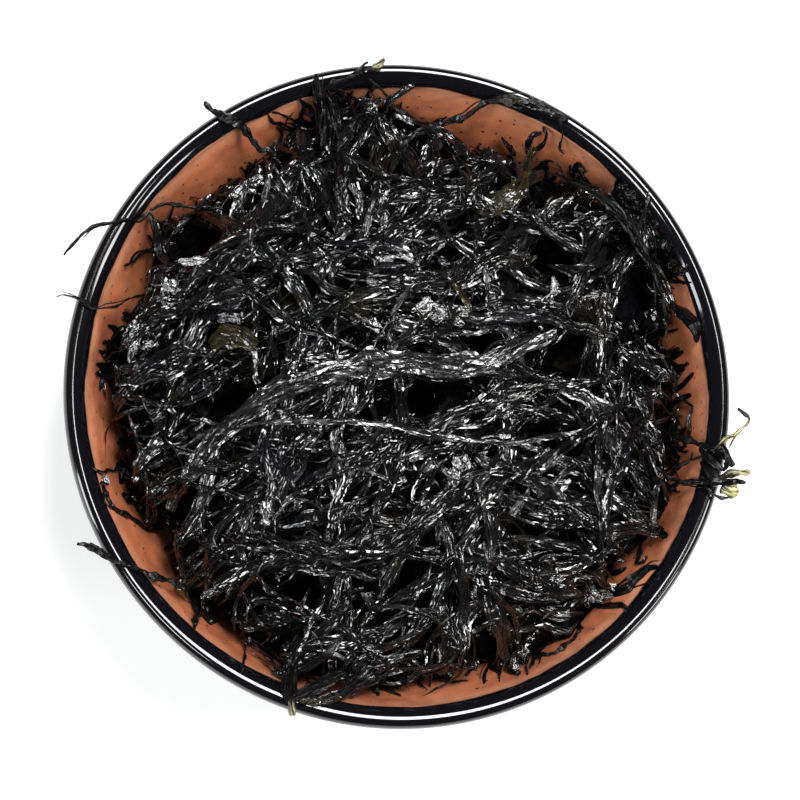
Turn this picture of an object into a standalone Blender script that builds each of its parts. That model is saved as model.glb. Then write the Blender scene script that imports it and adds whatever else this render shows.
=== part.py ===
"""Dried laver, heaped past the rim of a round glazed terracotta bowl.

Units are metres and +Z is up. The bowl's axis is Z and its foot stands on Z = 0. Seen from above
with +X to the right and +Y up, the strips lie as they do in the heap that was modelled.
"""
import math
import random

import bmesh
import bpy
from mathutils import Vector, noise

MM = 0.001
UP = Vector((0.0, 0.0, 1.0))

# Bowl, in millimetres
BOWL_HEIGHT = 70.0
BOWL_SEGMENTS = 56
LIP_RADIUS = 100.0
LIP_CREST_RADIUS = 97.7
LIP_INNER_RADIUS = 93.2
LIP_OUTER_DROP = 3.5
LIP_INNER_DROP = 4.5
LIP_STEPS = 3
FOOT_RADIUS = 40.0
FOOT_HEIGHT = 5.0
FOOT_CHAMFER = 1.0
FLOOR_HEIGHT = 8.0
FLOOR_RADIUS = 34.0
WALL_STEPS = 6
# A wall is a cubic arc: its two ends and how far its handles reach along each end's tangent
INNER_WALL_TANGENT = (-0.30, -0.95)
INNER_WALL_REACH = (26.0, 34.0)
OUTER_WALL_START = (41.5, 6.0)
OUTER_WALL_END = (98.6, 62.0)
OUTER_WALL_TANGENT = (-0.28, -0.96)
OUTER_WALL_REACH = (26.0, 30.0)

# Heap, in millimetres
HEAP_RADIUS = 87.5
HEAP_TOP = 75.5
HEAP_ROUNDNESS = 0.75
HEAP_ABOVE_WALL = 4.0
HEAP_BUMP = 4.2
HEAP_BUMP_SIZE = 17.0
HEAP_SEGMENTS = 44
HEAP_RINGS = (0.97, 0.89, 0.79, 0.68, 0.56, 0.43, 0.29, 0.14)
HEAP_SIDE_RADII = (42.0, 60.0, 75.0)
HEAP_WALL_GAP = 1.5
# Where the heap climbs the wall: direction and half width in degrees, and how far it reaches out
HEAP_LOBES = (
    (28.0, 17.0, 3.0),
    (97.0, 9.0, 2.5),
    (252.0, 8.0, 2.5),
    (333.0, 8.0, 2.0),
)

# How the strips lie: a place on the heap and the direction they are combed in there, in degrees
COMBING = (
    (-44.0, -49.0, 42.0),
    (-55.0, -10.0, 50.0),
    (-59.0, 22.0, 35.0),
    (-44.0, 44.0, 28.0),
    (-22.0, 66.0, 92.0),
    (4.0, 46.0, 8.0),
    (26.0, 20.0, 18.0),
    (48.0, 48.0, 62.0),
    (72.0, 22.0, 104.0),
    (74.0, -14.0, 118.0),
    (60.0, -48.0, 162.0),
    (38.0, -30.0, 26.0),
    (14.0, -66.0, 82.0),
    (-20.0, -74.0, 34.0),
    (0.0, -34.0, 45.0),
)
COMBING_REACH = 22.0

# The strips that make the heap's surface, in millimetres and degrees
STRIP_SEED = 11
STRIP_COUNT = 46
STRIP_LENGTHS = (42.0, 76.0)
STRIP_WIDTHS = (5.5, 9.5)
STRIP_THICKNESSES = (1.8, 3.0)
STRIP_LIFTS = (1.2, 5.4)
STRIP_STEP = 6.8
STRIP_SCATTER = 34.0
STRIP_WANDER = 26.0
STRIP_ROLL = 78.0
STRIP_END_SINK = 3.2
STRIP_SPREAD = 0.97
GOLDEN_ANGLE = math.radians(137.508)

# The strips that stand out, each with its width and thickness, then its route: x, y and how far
# its middle lies above the heap or, past the heap's edge, above the line from there to the lip.
NAMED_STRIPS = {
    "long_blade": (7.6, 2.2, (
        (-68, -36, -1), (-62, -24, 3), (-53, -13, 4), (-36, -1, 4), (-19, 5, 4), (-1, 7, 4),
        (19, 6, 4), (30, 11, 3), (41, 17, -1))),
    "thin_strand": (2.6, 1.7, (
        (-54, -15, 1), (-31, -12, 6), (-8, -12, 5), (19, -16, 5), (34, -16, 4), (47, -11, -1))),
    "top_clump": (6.4, 3.0, (
        (-26, 44, -1), (-30, 60, 3), (-31, 73, 4), (-28, 84, 3), (-25, 94, 3))),
    "top_curl": (4.6, 2.2, (
        (-15, 57, -1), (-18, 73, 3), (-17, 85, 3), (-12, 93, 4), (-6, 99, 6))),
    "top_sprig": (3.4, 1.8, (
        (-7, 66, -1), (-5, 80, 2), (3, 89, 1))),
    "lip_runner": (4.0, 2.0, (
        (-4, 71, -1), (7, 80, 2), (22, 84, 2), (33, 88, 3), (42, 88, 3), (50, 83, 3))),
    "upper_left_tip": (3.6, 2.0, (
        (-33, 62, -1), (-41, 73, 2), (-48, 79, 2), (-54, 81, 3), (-60, 84, 6))),
    "left_tip": (3.0, 1.8, (
        (-48, 57, -2), (-60, 57, 2), (-70, 54, 2), (-80, 51, 3), (-87, 47, 4), (-94, 45, 4), (-100, 38, 3))),
    "left_hair": (2.2, 1.6, (
        (-68, 30, -2), (-83, 26, 2), (-91, 24, 3), (-97, 26, 4), (-102, 26, 5))),
    "lower_left_tip": (3.8, 2.0, (
        (-46, -62, -2), (-58, -61, 2), (-69, -56, 2), (-79, -53, 2), (-87, -50, 3), (-95, -47, 4))),
    "right_bundle": (4.4, 2.4, (
        (66, -17, -1), (74, -21, 2), (82, -25, 2), (90, -27, 3), (97, -26, 4), (104, -24, 5))),
    "right_tuft": (5.4, 2.0, (
        (70, -6, -2), (78, -10, 2), (86, -14, 1), (92, -17, 3), (99, -22, 4))),
    "right_hook": (2.6, 1.7, (
        (72, -22, -2), (82, -24, 1), (89, -20, 3), (97, -17, 4), (102, -11, 6), (103, -7, 7))),
    "right_spur": (3.2, 1.7, (
        (74, -22, -2), (83, -26, 1), (92, -29, 3), (99, -32, 3))),
    "bottom_clump": (5.6, 2.8, (
        (-36, -66, -1), (-34, -78, 3), (-32, -88, 3), (-32, -95, 4))),
    "wall_strip": (4.2, 2.0, (
        (36, -64, -2), (46, -65, 1), (57, -62, 0), (65, -58, -2), (71, -55, -2), (76, -51, -1))),
    "upper_right_edge": (5.0, 2.4, (
        (46, 70, -1), (58, 64, 2), (69, 55, 3), (77, 44, 3), (83, 31, 2), (84, 18, -1))),
    "olive_strip": (4.4, 1.8, (
        (43, 76, 2), (39, 74, 4), (35, 67, 5), (31, 60, 3), (29, 50, -1))),
    "wall_hair": (2.4, 1.6, (
        (-88, -26, -1), (-85, -34, 0), (-78, -39, 1), (-68, -43, 1), (-58, -46, -2))),
}
NAMED_STEP = 5.0
NAMED_ROLL = 28.0
# A strip keeps this far above the bowl, counted at the highest point of it within the reach
STRIP_LIP_CLEARANCE = 0.8
STRIP_LIP_REACH = 2.0
STRIP_TIP_WIDTH = 0.45
STRIP_WIDTH_CHANGE = 0.34

SMALLEST_BODY_MM3 = 1000.0
HEAP_TRIANGLES = 11000


def clear_scene():
    """Removes whatever the file already holds."""
    for item in list(bpy.data.objects):
        bpy.data.objects.remove(item, do_unlink=True)


def glossy_material(name, color, roughness):
    """A plain Principled material with one colour."""
    material = bpy.data.materials.new(name)
    material.use_nodes = True
    shader = material.node_tree.nodes["Principled BSDF"]
    shader.inputs["Base Color"].default_value = (*color, 1.0)
    shader.inputs["Roughness"].default_value = roughness
    shader.inputs["Metallic"].default_value = 0.0
    return material


def new_object(name, mesh_builder, materials=()):
    """Turns a bmesh into a smooth-shaded object in the scene, and frees the bmesh."""
    mesh = bpy.data.meshes.new(name)
    mesh_builder.to_mesh(mesh)
    mesh_builder.free()
    for material in materials:
        mesh.materials.append(material)
    item = bpy.data.objects.new(name, mesh)
    bpy.context.scene.collection.objects.link(item)
    return item


def cubic_arc(start, handle_a, handle_b, end, steps):
    """Points along a cubic arc in the (radius, height) plane, both ends included."""
    points = []
    for step in range(steps + 1):
        t = step / steps
        weights = ((1 - t) ** 3, 3 * t * (1 - t) ** 2, 3 * t * t * (1 - t), t ** 3)
        corners = (start, handle_a, handle_b, end)
        points.append(tuple(sum(w * c[axis] for w, c in zip(weights, corners)) for axis in (0, 1)))
    return points


def inner_wall(steps):
    """The bowl's inside, from the lip's inner edge down to the floor."""
    start = (LIP_INNER_RADIUS, BOWL_HEIGHT - LIP_INNER_DROP)
    end = (FLOOR_RADIUS, FLOOR_HEIGHT)
    reach_top, reach_floor = INNER_WALL_REACH
    handle_a = tuple(s + reach_top * d for s, d in zip(start, INNER_WALL_TANGENT))
    handle_b = (end[0] + reach_floor, end[1])
    return cubic_arc(start, handle_a, handle_b, end, steps)


def outer_wall(steps):
    """The bowl's outside, from the foot up to the lip."""
    reach_foot, reach_lip = OUTER_WALL_REACH
    handle_a = (OUTER_WALL_START[0] + reach_foot, OUTER_WALL_START[1])
    handle_b = tuple(e + reach_lip * d for e, d in zip(OUTER_WALL_END, OUTER_WALL_TANGENT))
    return cubic_arc(OUTER_WALL_START, handle_a, handle_b, OUTER_WALL_END, steps)


def lip(steps):
    """The rolled lip, from its widest point over the crest to the inner edge."""
    points = []
    for step in range(steps + 1):
        angle = math.radians(90 * step / steps)
        points.append((
            LIP_CREST_RADIUS + (LIP_RADIUS - LIP_CREST_RADIUS) * math.cos(angle),
            BOWL_HEIGHT - LIP_OUTER_DROP * (1 - math.sin(angle))))
    for step in range(1, steps):
        angle = math.radians(90 * step / steps)
        points.append((
            LIP_CREST_RADIUS - (LIP_CREST_RADIUS - LIP_INNER_RADIUS) * math.sin(angle),
            BOWL_HEIGHT - LIP_INNER_DROP * (1 - math.cos(angle))))
    return points


def bowl_profile():
    """(radius, height) all the way round the bowl's section, from the foot's centre to the floor's."""
    foot = [
        (0.0, 0.0),
        (FOOT_RADIUS - FOOT_CHAMFER, 0.0),
        (FOOT_RADIUS, FOOT_CHAMFER),
        (FOOT_RADIUS, FOOT_HEIGHT),
    ]
    floor = [(FLOOR_RADIUS / 2, FLOOR_HEIGHT - 0.3), (0.0, FLOOR_HEIGHT - 0.4)]
    return foot + outer_wall(WALL_STEPS) + lip(LIP_STEPS) + inner_wall(WALL_STEPS) + floor


def is_bare_clay(centre):
    """True for a face of the inside below the lip, and for the foot, which carry no black glaze."""
    radius = math.hypot(centre.x, centre.y) / MM
    height = centre.z / MM
    inside = height > FLOOR_HEIGHT - 1 and radius < LIP_INNER_RADIUS
    wall = radius < wall_radius(height) + 1.0
    return (inside and wall) or height < FOOT_CHAMFER


def build_bowl():
    """The turned bowl: one closed shell of clay with a lip and a flat foot."""
    builder = bmesh.new()
    ring = [builder.verts.new((radius * MM, 0.0, height * MM)) for radius, height in bowl_profile()]
    edges = [builder.edges.new(pair) for pair in zip(ring, ring[1:])]
    bmesh.ops.spin(
        builder, geom=ring + edges, cent=(0, 0, 0), axis=(0, 0, 1), angle=math.tau,
        steps=BOWL_SEGMENTS, use_merge=True)
    bmesh.ops.remove_doubles(builder, verts=builder.verts, dist=0.00001)
    bmesh.ops.dissolve_degenerate(builder, dist=0.000001, edges=builder.edges)
    bmesh.ops.recalc_face_normals(builder, faces=builder.faces)
    for face in builder.faces:
        face.smooth = True
        face.material_index = int(is_bare_clay(face.calc_center_median()))
    materials = (
        glossy_material("black_glaze", (0.010, 0.010, 0.012), 0.12),
        glossy_material("terracotta", (0.50, 0.17, 0.08), 0.35),
    )
    return new_object("bowl", builder, materials)


def read_off(points, value):
    """Straight-line reading of a list of (key, result) pairs that rises in its keys."""
    if value <= points[0][0]:
        return points[0][1]
    for (key_a, result_a), (key_b, result_b) in zip(points, points[1:]):
        if value <= key_b:
            return result_a + (result_b - result_a) * (value - key_a) / (key_b - key_a)
    return points[-1][1]


WALL_BY_HEIGHT = sorted((height, radius) for radius, height in inner_wall(WALL_STEPS))
TOP_BY_RADIUS = sorted(inner_wall(WALL_STEPS) + lip(LIP_STEPS))


def wall_radius(height):
    """How wide the bowl's inside is at a height, in millimetres."""
    return read_off(WALL_BY_HEIGHT, height)


def bowl_top(radius):
    """Height of the bowl's upper side, wall and lip alike, at a radius, in millimetres."""
    return read_off(TOP_BY_RADIUS, radius)


def bump(x, y, size, layer=0.0):
    """Smooth noise of about -1 to 1 over the heap, with bumps of the given size."""
    return noise.noise(Vector((x / size, y / size, layer)))


def heap_edge(angle):
    """Radius at which the core meets the wall, in a direction in radians."""
    reach = 0.0
    for direction, half_width, height in HEAP_LOBES:
        turn = math.degrees(angle) - direction
        turn = (turn + 180) % 360 - 180
        reach += height * math.exp(-(turn / half_width) ** 2)
    wave = 1.2 * bump(3 * math.cos(angle), 3 * math.sin(angle), 1.0, 5.0)
    return HEAP_RADIUS + reach + wave


def heap_height(x, y):
    """Height of the core's upper side."""
    radius = math.hypot(x, y)
    edge = heap_edge(math.atan2(y, x))
    rim = bowl_top(edge) + HEAP_ABOVE_WALL
    dome = max(0.0, 1 - (radius / edge) ** 2) ** HEAP_ROUNDNESS
    rough = HEAP_BUMP * bump(x, y, HEAP_BUMP_SIZE, 2.0) * min(1.0, 2.5 * dome)
    return rim + (HEAP_TOP - rim) * dome + rough


def rest_height(x, y):
    """Height a strip lies at: on the heap, or on a straight line from its edge to the lip."""
    radius = math.hypot(x, y)
    near = 0.94 * heap_edge(math.atan2(y, x))
    if radius <= near:
        return heap_height(x, y)
    start = heap_height(x * near / radius, y * near / radius)
    share = (radius - near) / (LIP_CREST_RADIUS - near)
    return start + (BOWL_HEIGHT - start) * min(1.0, share)


def closed_rings(builder, rings, first_pole, last_pole):
    """Joins rings of points, all the same count, into a closed skin with a pole at each end."""
    loops = [[builder.verts.new(point) for point in ring] for ring in rings]
    count = len(loops[0])
    for ring_a, ring_b in zip(loops, loops[1:]):
        for index in range(count):
            after = (index + 1) % count
            builder.faces.new((ring_a[index], ring_a[after], ring_b[after], ring_b[index]))
    for pole, ring in ((first_pole, loops[0]), (last_pole, loops[-1])):
        tip = builder.verts.new(pole)
        for index in range(count):
            builder.faces.new((tip, ring[index], ring[(index + 1) % count]))
    bmesh.ops.triangulate(builder, faces=builder.faces)
    bmesh.ops.recalc_face_normals(builder, faces=builder.faces)


def build_heap_core():
    """The body of the heap, which fills the bowl up to the strips on top."""
    angles = [math.tau * index / HEAP_SEGMENTS for index in range(HEAP_SEGMENTS)]
    rings = []
    for radius in HEAP_SIDE_RADII:
        height = bowl_top(radius) + HEAP_WALL_GAP
        rings.append([
            Vector((radius * math.cos(a), radius * math.sin(a), height)) * MM for a in angles])
    for share in HEAP_RINGS:
        ring = []
        for angle in angles:
            radius = share * heap_edge(angle)
            x, y = radius * math.cos(angle), radius * math.sin(angle)
            ring.append(Vector((x, y, heap_height(x, y))) * MM)
        rings.append(ring)
    builder = bmesh.new()
    foot = Vector((0.0, 0.0, bowl_top(0.0) + HEAP_WALL_GAP)) * MM
    top = Vector((0.0, 0.0, heap_height(0.0, 0.0))) * MM
    closed_rings(builder, rings, foot, top)
    return new_object("laver", builder)


def combed_direction(x, y):
    """Direction the strips lie in at a place, in radians, from the nearest combing directions."""
    cosine, sine = 0.0, 0.0
    for place_x, place_y, degrees in COMBING:
        distance = math.hypot(x - place_x, y - place_y)
        weight = math.exp(-(distance / COMBING_REACH) ** 2)
        cosine += weight * math.cos(2 * math.radians(degrees))
        sine += weight * math.sin(2 * math.radians(degrees))
    return math.atan2(sine, cosine) / 2


def smooth_route(points, step):
    """Evenly spaced points on a smooth curve through the given ones."""
    padded = [2 * points[0] - points[1]] + points + [2 * points[-1] - points[-2]]
    fine = []
    for before, start, end, after in zip(padded, padded[1:], padded[2:], padded[3:]):
        for index in range(12):
            t = index / 12
            fine.append(0.5 * (
                2 * start + (end - before) * t
                + (2 * before - 5 * start + 4 * end - after) * t ** 2
                + (3 * start - before - 3 * end + after) * t ** 3))
    fine.append(points[-1])
    travelled = [0.0]
    for a, b in zip(fine, fine[1:]):
        travelled.append(travelled[-1] + (b - a).length)
    count = max(3, round(travelled[-1] / step))
    route = []
    for index in range(count + 1):
        target = travelled[-1] * index / count
        at = next((i for i in range(1, len(fine)) if travelled[i] >= target - 1e-9), len(fine) - 1)
        part = (target - travelled[at - 1]) / max(1e-9, travelled[at] - travelled[at - 1])
        route.append(fine[at - 1].lerp(fine[at], min(1.0, part)))
    return route


def clear_of_bowl(corners):
    """Lifts a strip's section, as one, until none of its corners comes near the wall or the lip."""
    lift = 0.0
    for corner in corners:
        radius = math.hypot(corner.x, corner.y)
        if radius < LIP_RADIUS + STRIP_LIP_REACH:
            to_crest = LIP_CREST_RADIUS - radius
            nearby = radius + max(-STRIP_LIP_REACH, min(STRIP_LIP_REACH, to_crest))
            lift = max(lift, bowl_top(nearby) + STRIP_LIP_CLEARANCE - corner.z)
    return [corner + UP * lift for corner in corners]


def build_strip(name, route, width, thickness, roll_range, layer):
    """One crumpled strip: a flat bar of uneven width that rolls as it goes along its route."""
    builder = bmesh.new()
    last = len(route) - 1
    sections = []
    for index, point in enumerate(route):
        share = index / last
        along = (route[min(index + 1, last)] - route[max(index - 1, 0)]).normalized()
        side = along.cross(UP).normalized()
        rise = side.cross(along)
        roll = math.radians(roll_range) * 1.6 * bump(index * 0.45, layer, 1.0, 9.0)
        across = side * math.cos(roll) + rise * math.sin(roll)
        through = rise * math.cos(roll) - side * math.sin(roll)
        taper = STRIP_TIP_WIDTH + (1 - STRIP_TIP_WIDTH) * math.sin(math.pi * share) ** 0.5
        change = 1 + STRIP_WIDTH_CHANGE * bump(index * 0.8, layer, 1.0, 4.0) * 1.6
        half_width = across * (width / 2 * taper * change)
        half_depth = through * (thickness / 2 * (0.6 + 0.4 * taper))
        corners = [
            point + half_width + half_depth, point - half_width + half_depth,
            point - half_width - half_depth, point + half_width - half_depth]
        sections.append([corner * MM for corner in clear_of_bowl(corners)])
    loops = [[builder.verts.new(corner) for corner in section] for section in sections]
    for loop_a, loop_b in zip(loops, loops[1:]):
        for index in range(4):
            after = (index + 1) % 4
            builder.faces.new((loop_a[index], loop_a[after], loop_b[after], loop_b[index]))
    builder.faces.new(loops[0])
    builder.faces.new(loops[-1])
    bmesh.ops.triangulate(builder, faces=builder.faces)
    bmesh.ops.recalc_face_normals(builder, faces=builder.faces)
    return new_object(name, builder)


def scattered_route(x, y, length, lift, generator):
    """A route through (x, y) that follows the combing and dips into the heap at both ends."""
    start = combed_direction(x, y) + math.radians(generator.uniform(-1, 1) * STRIP_SCATTER)
    layer = generator.uniform(0, 100)
    arms = []
    for sense in (1, -1):
        arm = []
        place_x, place_y, heading = x, y, start + (math.pi if sense < 0 else 0)
        for step in range(round(length / 2 / STRIP_STEP)):
            heading += math.radians(STRIP_WANDER) * bump(step * 0.7, sense * 3.0, 1.0, layer)
            place_x += STRIP_STEP * math.cos(heading)
            place_y += STRIP_STEP * math.sin(heading)
            limit = STRIP_SPREAD * heap_edge(math.atan2(place_y, place_x))
            shrink = min(1.0, limit / max(1e-6, math.hypot(place_x, place_y)))
            place_x, place_y = place_x * shrink, place_y * shrink
            arm.append((place_x, place_y))
        arms.append(arm)
    flat = arms[1][::-1] + [(x, y)] + arms[0]
    route = []
    for index, (place_x, place_y) in enumerate(flat):
        rise = math.sin(math.pi * index / (len(flat) - 1)) ** 0.6
        height = rest_height(place_x, place_y) + (lift + STRIP_END_SINK) * rise - STRIP_END_SINK
        route.append(Vector((place_x, place_y, height)))
    return smooth_route(route, STRIP_STEP)


def build_scattered_strips():
    """The strips of the heap's surface, spread evenly by the golden angle."""
    generator = random.Random(STRIP_SEED)
    strips = []
    for index in range(STRIP_COUNT):
        radius = STRIP_SPREAD * HEAP_RADIUS * math.sqrt((index + 0.5) / STRIP_COUNT)
        angle = index * GOLDEN_ANGLE
        length = generator.uniform(*STRIP_LENGTHS)
        route = scattered_route(
            radius * math.cos(angle), radius * math.sin(angle),
            length, generator.uniform(*STRIP_LIFTS), generator)
        strips.append(build_strip(
            f"strip_{index}", route, generator.uniform(*STRIP_WIDTHS),
            generator.uniform(*STRIP_THICKNESSES), STRIP_ROLL, 3.7 * index))
    return strips


def build_named_strips():
    """The strips that stand out on the heap, and those that cross the lip."""
    strips = []
    for number, (name, (width, thickness, stops)) in enumerate(NAMED_STRIPS.items()):
        points = [Vector((x, y, rest_height(x, y) + lift)) for x, y, lift in stops]
        route = smooth_route(points, NAMED_STEP)
        strips.append(build_strip(name, route, width, thickness, NAMED_ROLL, 50 + 2.9 * number))
    return strips


def bodies_of(builder):
    """The separate bodies of a mesh, as lists of faces."""
    waiting = set(builder.faces)
    bodies = []
    while waiting:
        body = []
        front = [waiting.pop()]
        while front:
            face = front.pop()
            body.append(face)
            for edge in face.edges:
                for neighbour in edge.link_faces:
                    if neighbour in waiting:
                        waiting.remove(neighbour)
                        front.append(neighbour)
        bodies.append(body)
    return bodies


def body_volume(body):
    """Signed volume of a closed body of triangles, in cubic millimetres: negative for a hollow."""
    total = 0.0
    for face in body:
        a, b, c = (vertex.co for vertex in face.verts)
        total += a.dot(b.cross(c)) / 6
    return total / MM ** 3


def apply_modifier(item, modifier):
    """Makes a modifier's result the object's own mesh."""
    bpy.context.view_layer.objects.active = item
    bpy.ops.object.modifier_apply(modifier=modifier.name)


def fuse(core, pieces):
    """Joins the pieces to the core, fills sealed hollows, drops loose scraps and thins the mesh."""
    pile = bpy.data.collections.new("strips")
    bpy.context.scene.collection.children.link(pile)
    for piece in pieces:
        pile.objects.link(piece)
        bpy.context.scene.collection.objects.unlink(piece)
    union = core.modifiers.new("fused", "BOOLEAN")
    union.operation = "UNION"
    union.operand_type = "COLLECTION"
    union.collection = pile
    union.solver = "MANIFOLD"
    apply_modifier(core, union)
    for piece in pieces:
        bpy.data.objects.remove(piece, do_unlink=True)
    bpy.data.collections.remove(pile)
    builder = bmesh.new()
    builder.from_mesh(core.data)
    bmesh.ops.triangulate(builder, faces=builder.faces)
    spare = [
        face for body in bodies_of(builder) if body_volume(body) < SMALLEST_BODY_MM3 for face in body]
    bmesh.ops.delete(builder, geom=spare, context="FACES")
    builder.to_mesh(core.data)
    builder.free()
    thinned = core.modifiers.new("thinned", "DECIMATE")
    thinned.ratio = min(1.0, HEAP_TRIANGLES / len(core.data.polygons))
    apply_modifier(core, thinned)


def build_laver():
    """The heap as one solid: its core with the strips that show fused on."""
    heap = build_heap_core()
    fuse(heap, build_named_strips() + build_scattered_strips())
    heap.data.materials.append(glossy_material("dried_laver", (0.012, 0.012, 0.012), 0.28))
    return heap


def main():
    """Builds the bowl and the heap in it."""
    clear_scene()
    build_bowl()
    build_laver()


main()
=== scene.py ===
"""The looks of a heap of dried laver in a round glazed bowl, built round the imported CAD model.

Lengths are millimetres in every class and become metres when a mesh is made. The bowl's axis is Z
and its foot stands on Z = 0. Strands are laid one by one on a map of heights, so each one rests on
the bowl or on the strands below it.
"""
import logging
import math
from collections.abc import Callable
from dataclasses import dataclass, field
from enum import Enum

import bpy
import numpy as np
from mathutils import Matrix, Vector, noise

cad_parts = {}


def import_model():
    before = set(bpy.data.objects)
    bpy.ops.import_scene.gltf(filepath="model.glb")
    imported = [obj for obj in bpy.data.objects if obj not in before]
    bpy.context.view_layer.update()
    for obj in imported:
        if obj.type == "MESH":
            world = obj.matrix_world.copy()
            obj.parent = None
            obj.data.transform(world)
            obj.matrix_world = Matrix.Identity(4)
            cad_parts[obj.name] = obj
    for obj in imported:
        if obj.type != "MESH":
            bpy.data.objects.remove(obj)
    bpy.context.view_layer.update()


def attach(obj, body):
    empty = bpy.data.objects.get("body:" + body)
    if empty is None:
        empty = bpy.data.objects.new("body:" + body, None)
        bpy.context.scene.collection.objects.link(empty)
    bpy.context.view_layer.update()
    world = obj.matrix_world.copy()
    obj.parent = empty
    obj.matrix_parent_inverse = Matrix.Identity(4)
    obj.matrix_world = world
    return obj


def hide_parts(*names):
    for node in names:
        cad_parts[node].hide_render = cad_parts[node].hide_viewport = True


LOG = logging.getLogger("dried_laver")
MM = 0.001
UP = np.array([0.0, 0.0, 1.0])
GOLDEN_ANGLE = math.radians(137.508)
GRAIN = "grain"
PALENESS = "paleness"
# Point attribute: how much shade is painted on the clay near the heap's edge.
PAINTED_SHADE = "painted_shade"


class Slot(Enum):
    """The record's material slots."""

    CLAY = "glazed_clay"
    LAVER = "dried_laver"


# ---------------------------------------------------------------- materials


class NodeGraph:
    """A material's node tree, with short calls for the nodes the finishes share."""

    def __init__(self, name: str) -> None:
        """Starts a material with one Principled shader."""
        self.material = bpy.data.materials.new(name)
        self.material.use_nodes = True
        self.tree = self.material.node_tree
        self.shader = self.tree.nodes["Principled BSDF"]

    def node(self, kind: str, **settings: object) -> bpy.types.Node:
        """Adds a node.

        Args:
            kind: the node's type without its ShaderNode prefix.
            settings: properties of the node, such as operation="MULTIPLY".

        Returns:
            The new node.
        """
        made = self.tree.nodes.new("ShaderNode" + kind)
        for key, value in settings.items():
            setattr(made, key, value)
        return made

    def link(self, source: bpy.types.NodeSocket, target: bpy.types.NodeSocket) -> None:
        """Joins two sockets."""
        self.tree.links.new(source, target)

    def place(self) -> bpy.types.NodeSocket:
        """Gives the shaded point in the object's own coordinates, in metres."""
        return self.node("TexCoord").outputs["Object"]

    def noise(self, scale: float, detail: float = 2.0, distortion: float = 0.0,
              place: bpy.types.NodeSocket | None = None) -> bpy.types.NodeSocket:
        """Adds a noise texture over the object.

        Args:
            scale: bumps in a unit of the place, which is a metre where none is given.
            detail: how many finer layers it has.
            distortion: how far it is stirred.
            place: the coordinates that it is read at.

        Returns:
            The noise's value, about 0 to 1.
        """
        made = self.node("TexNoise")
        made.inputs["Scale"].default_value = scale
        made.inputs["Detail"].default_value = detail
        made.inputs["Distortion"].default_value = distortion
        self.link(place or self.place(), made.inputs["Vector"])
        return made.outputs["Fac"]

    def along_strand(self, size: tuple[float, float], detail: float) -> bpy.types.NodeSocket:
        """Adds noise of a size along and across the strand, in millimetres."""
        stretch = self.node("VectorMath", operation="MULTIPLY")
        self.link(self.node("Attribute", attribute_name=GRAIN).outputs["Vector"], stretch.inputs[0])
        stretch.inputs[1].default_value = (1 / size[0], 1 / size[1], 1.0)
        return self.noise(1.0, detail, 0.5, stretch.outputs["Vector"])

    def spread(self, value: bpy.types.NodeSocket, low: float, high: float,
               to_low: float, to_high: float) -> bpy.types.NodeSocket:
        """Maps a value's range onto another, and holds it there.

        Args:
            value: what is mapped.
            low, high: the range it has.
            to_low, to_high: the range it gets.

        Returns:
            The mapped value.
        """
        made = self.node("MapRange", clamp=True)
        self.link(value, made.inputs["Value"])
        names = ("From Min", "From Max", "To Min", "To Max")
        for name, number in zip(names, (low, high, to_low, to_high)):
            made.inputs[name].default_value = number
        return made.outputs["Result"]

    def vary(self, noise_value: bpy.types.NodeSocket, low: float, high: float) -> bpy.types.NodeSocket:
        """Turns the range that a noise mostly keeps to into another one."""
        return self.spread(noise_value, 0.3, 0.7, low, high)

    def math(self, operation: str, a: object, b: object = 0.0) -> bpy.types.NodeSocket:
        """Does arithmetic on two numbers or sockets."""
        made = self.node("Math", operation=operation)
        for index, value in enumerate((a, b)):
            if isinstance(value, bpy.types.NodeSocket):
                self.link(value, made.inputs[index])
            else:
                made.inputs[index].default_value = value
        return made.outputs["Value"]

    def ramp(self, value: bpy.types.NodeSocket,
             stops: tuple[tuple[float, tuple[float, float, float]], ...]) -> bpy.types.NodeSocket:
        """Turns a value into a colour.

        Args:
            value: what the colour is read by, 0 to 1.
            stops: places on the ramp, each with its colour.

        Returns:
            The colour.
        """
        made = self.node("ValToRGB")
        band = made.color_ramp
        while len(band.elements) < len(stops):
            band.elements.new(0.5)
        for element, (place, color) in zip(band.elements, stops):
            element.position = place
            element.color = (*color, 1.0)
        self.link(value, made.inputs["Fac"])
        return made.outputs["Color"]

    def mix(self, share: bpy.types.NodeSocket, a: object, b: object) -> bpy.types.NodeSocket:
        """Mixes two colours, each a tuple or a socket, by a share."""
        made = self.node("Mix", data_type="RGBA")
        self.link(share, made.inputs["Factor"])
        for name, value in (("A", a), ("B", b)):
            socket = next(s for s in made.inputs if s.name == name and s.type == "RGBA")
            if isinstance(value, bpy.types.NodeSocket):
                self.link(value, socket)
            else:
                socket.default_value = (*value, 1.0)
        return next(s for s in made.outputs if s.type == "RGBA")

    def bump(self, height: bpy.types.NodeSocket, depth: float, strength: float,
             under: bpy.types.NodeSocket | None = None) -> bpy.types.NodeSocket:
        """Adds a bump.

        Args:
            height: the relief.
            depth: how deep it is, in metres.
            strength: 0 to 1.
            under: a normal that this one is laid over.

        Returns:
            The bumped normal.
        """
        made = self.node("Bump")
        made.inputs["Strength"].default_value = strength
        made.inputs["Distance"].default_value = depth
        self.link(height, made.inputs["Height"])
        if under is not None:
            self.link(under, made.inputs["Normal"])
        return made.outputs["Normal"]

    def dress(self, color: bpy.types.NodeSocket, roughness: bpy.types.NodeSocket,
              normal: bpy.types.NodeSocket, ior: float) -> bpy.types.Material:
        """Joins what was worked out to the shader.

        Args:
            color, roughness, normal: the sockets that give them.
            ior: the refractive index, which sets how strongly it mirrors.

        Returns:
            The finished material.
        """
        for name, socket in (("Base Color", color), ("Roughness", roughness), ("Normal", normal)):
            self.link(socket, self.shader.inputs[name])
        self.shader.inputs["IOR"].default_value = ior
        return self.material


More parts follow.
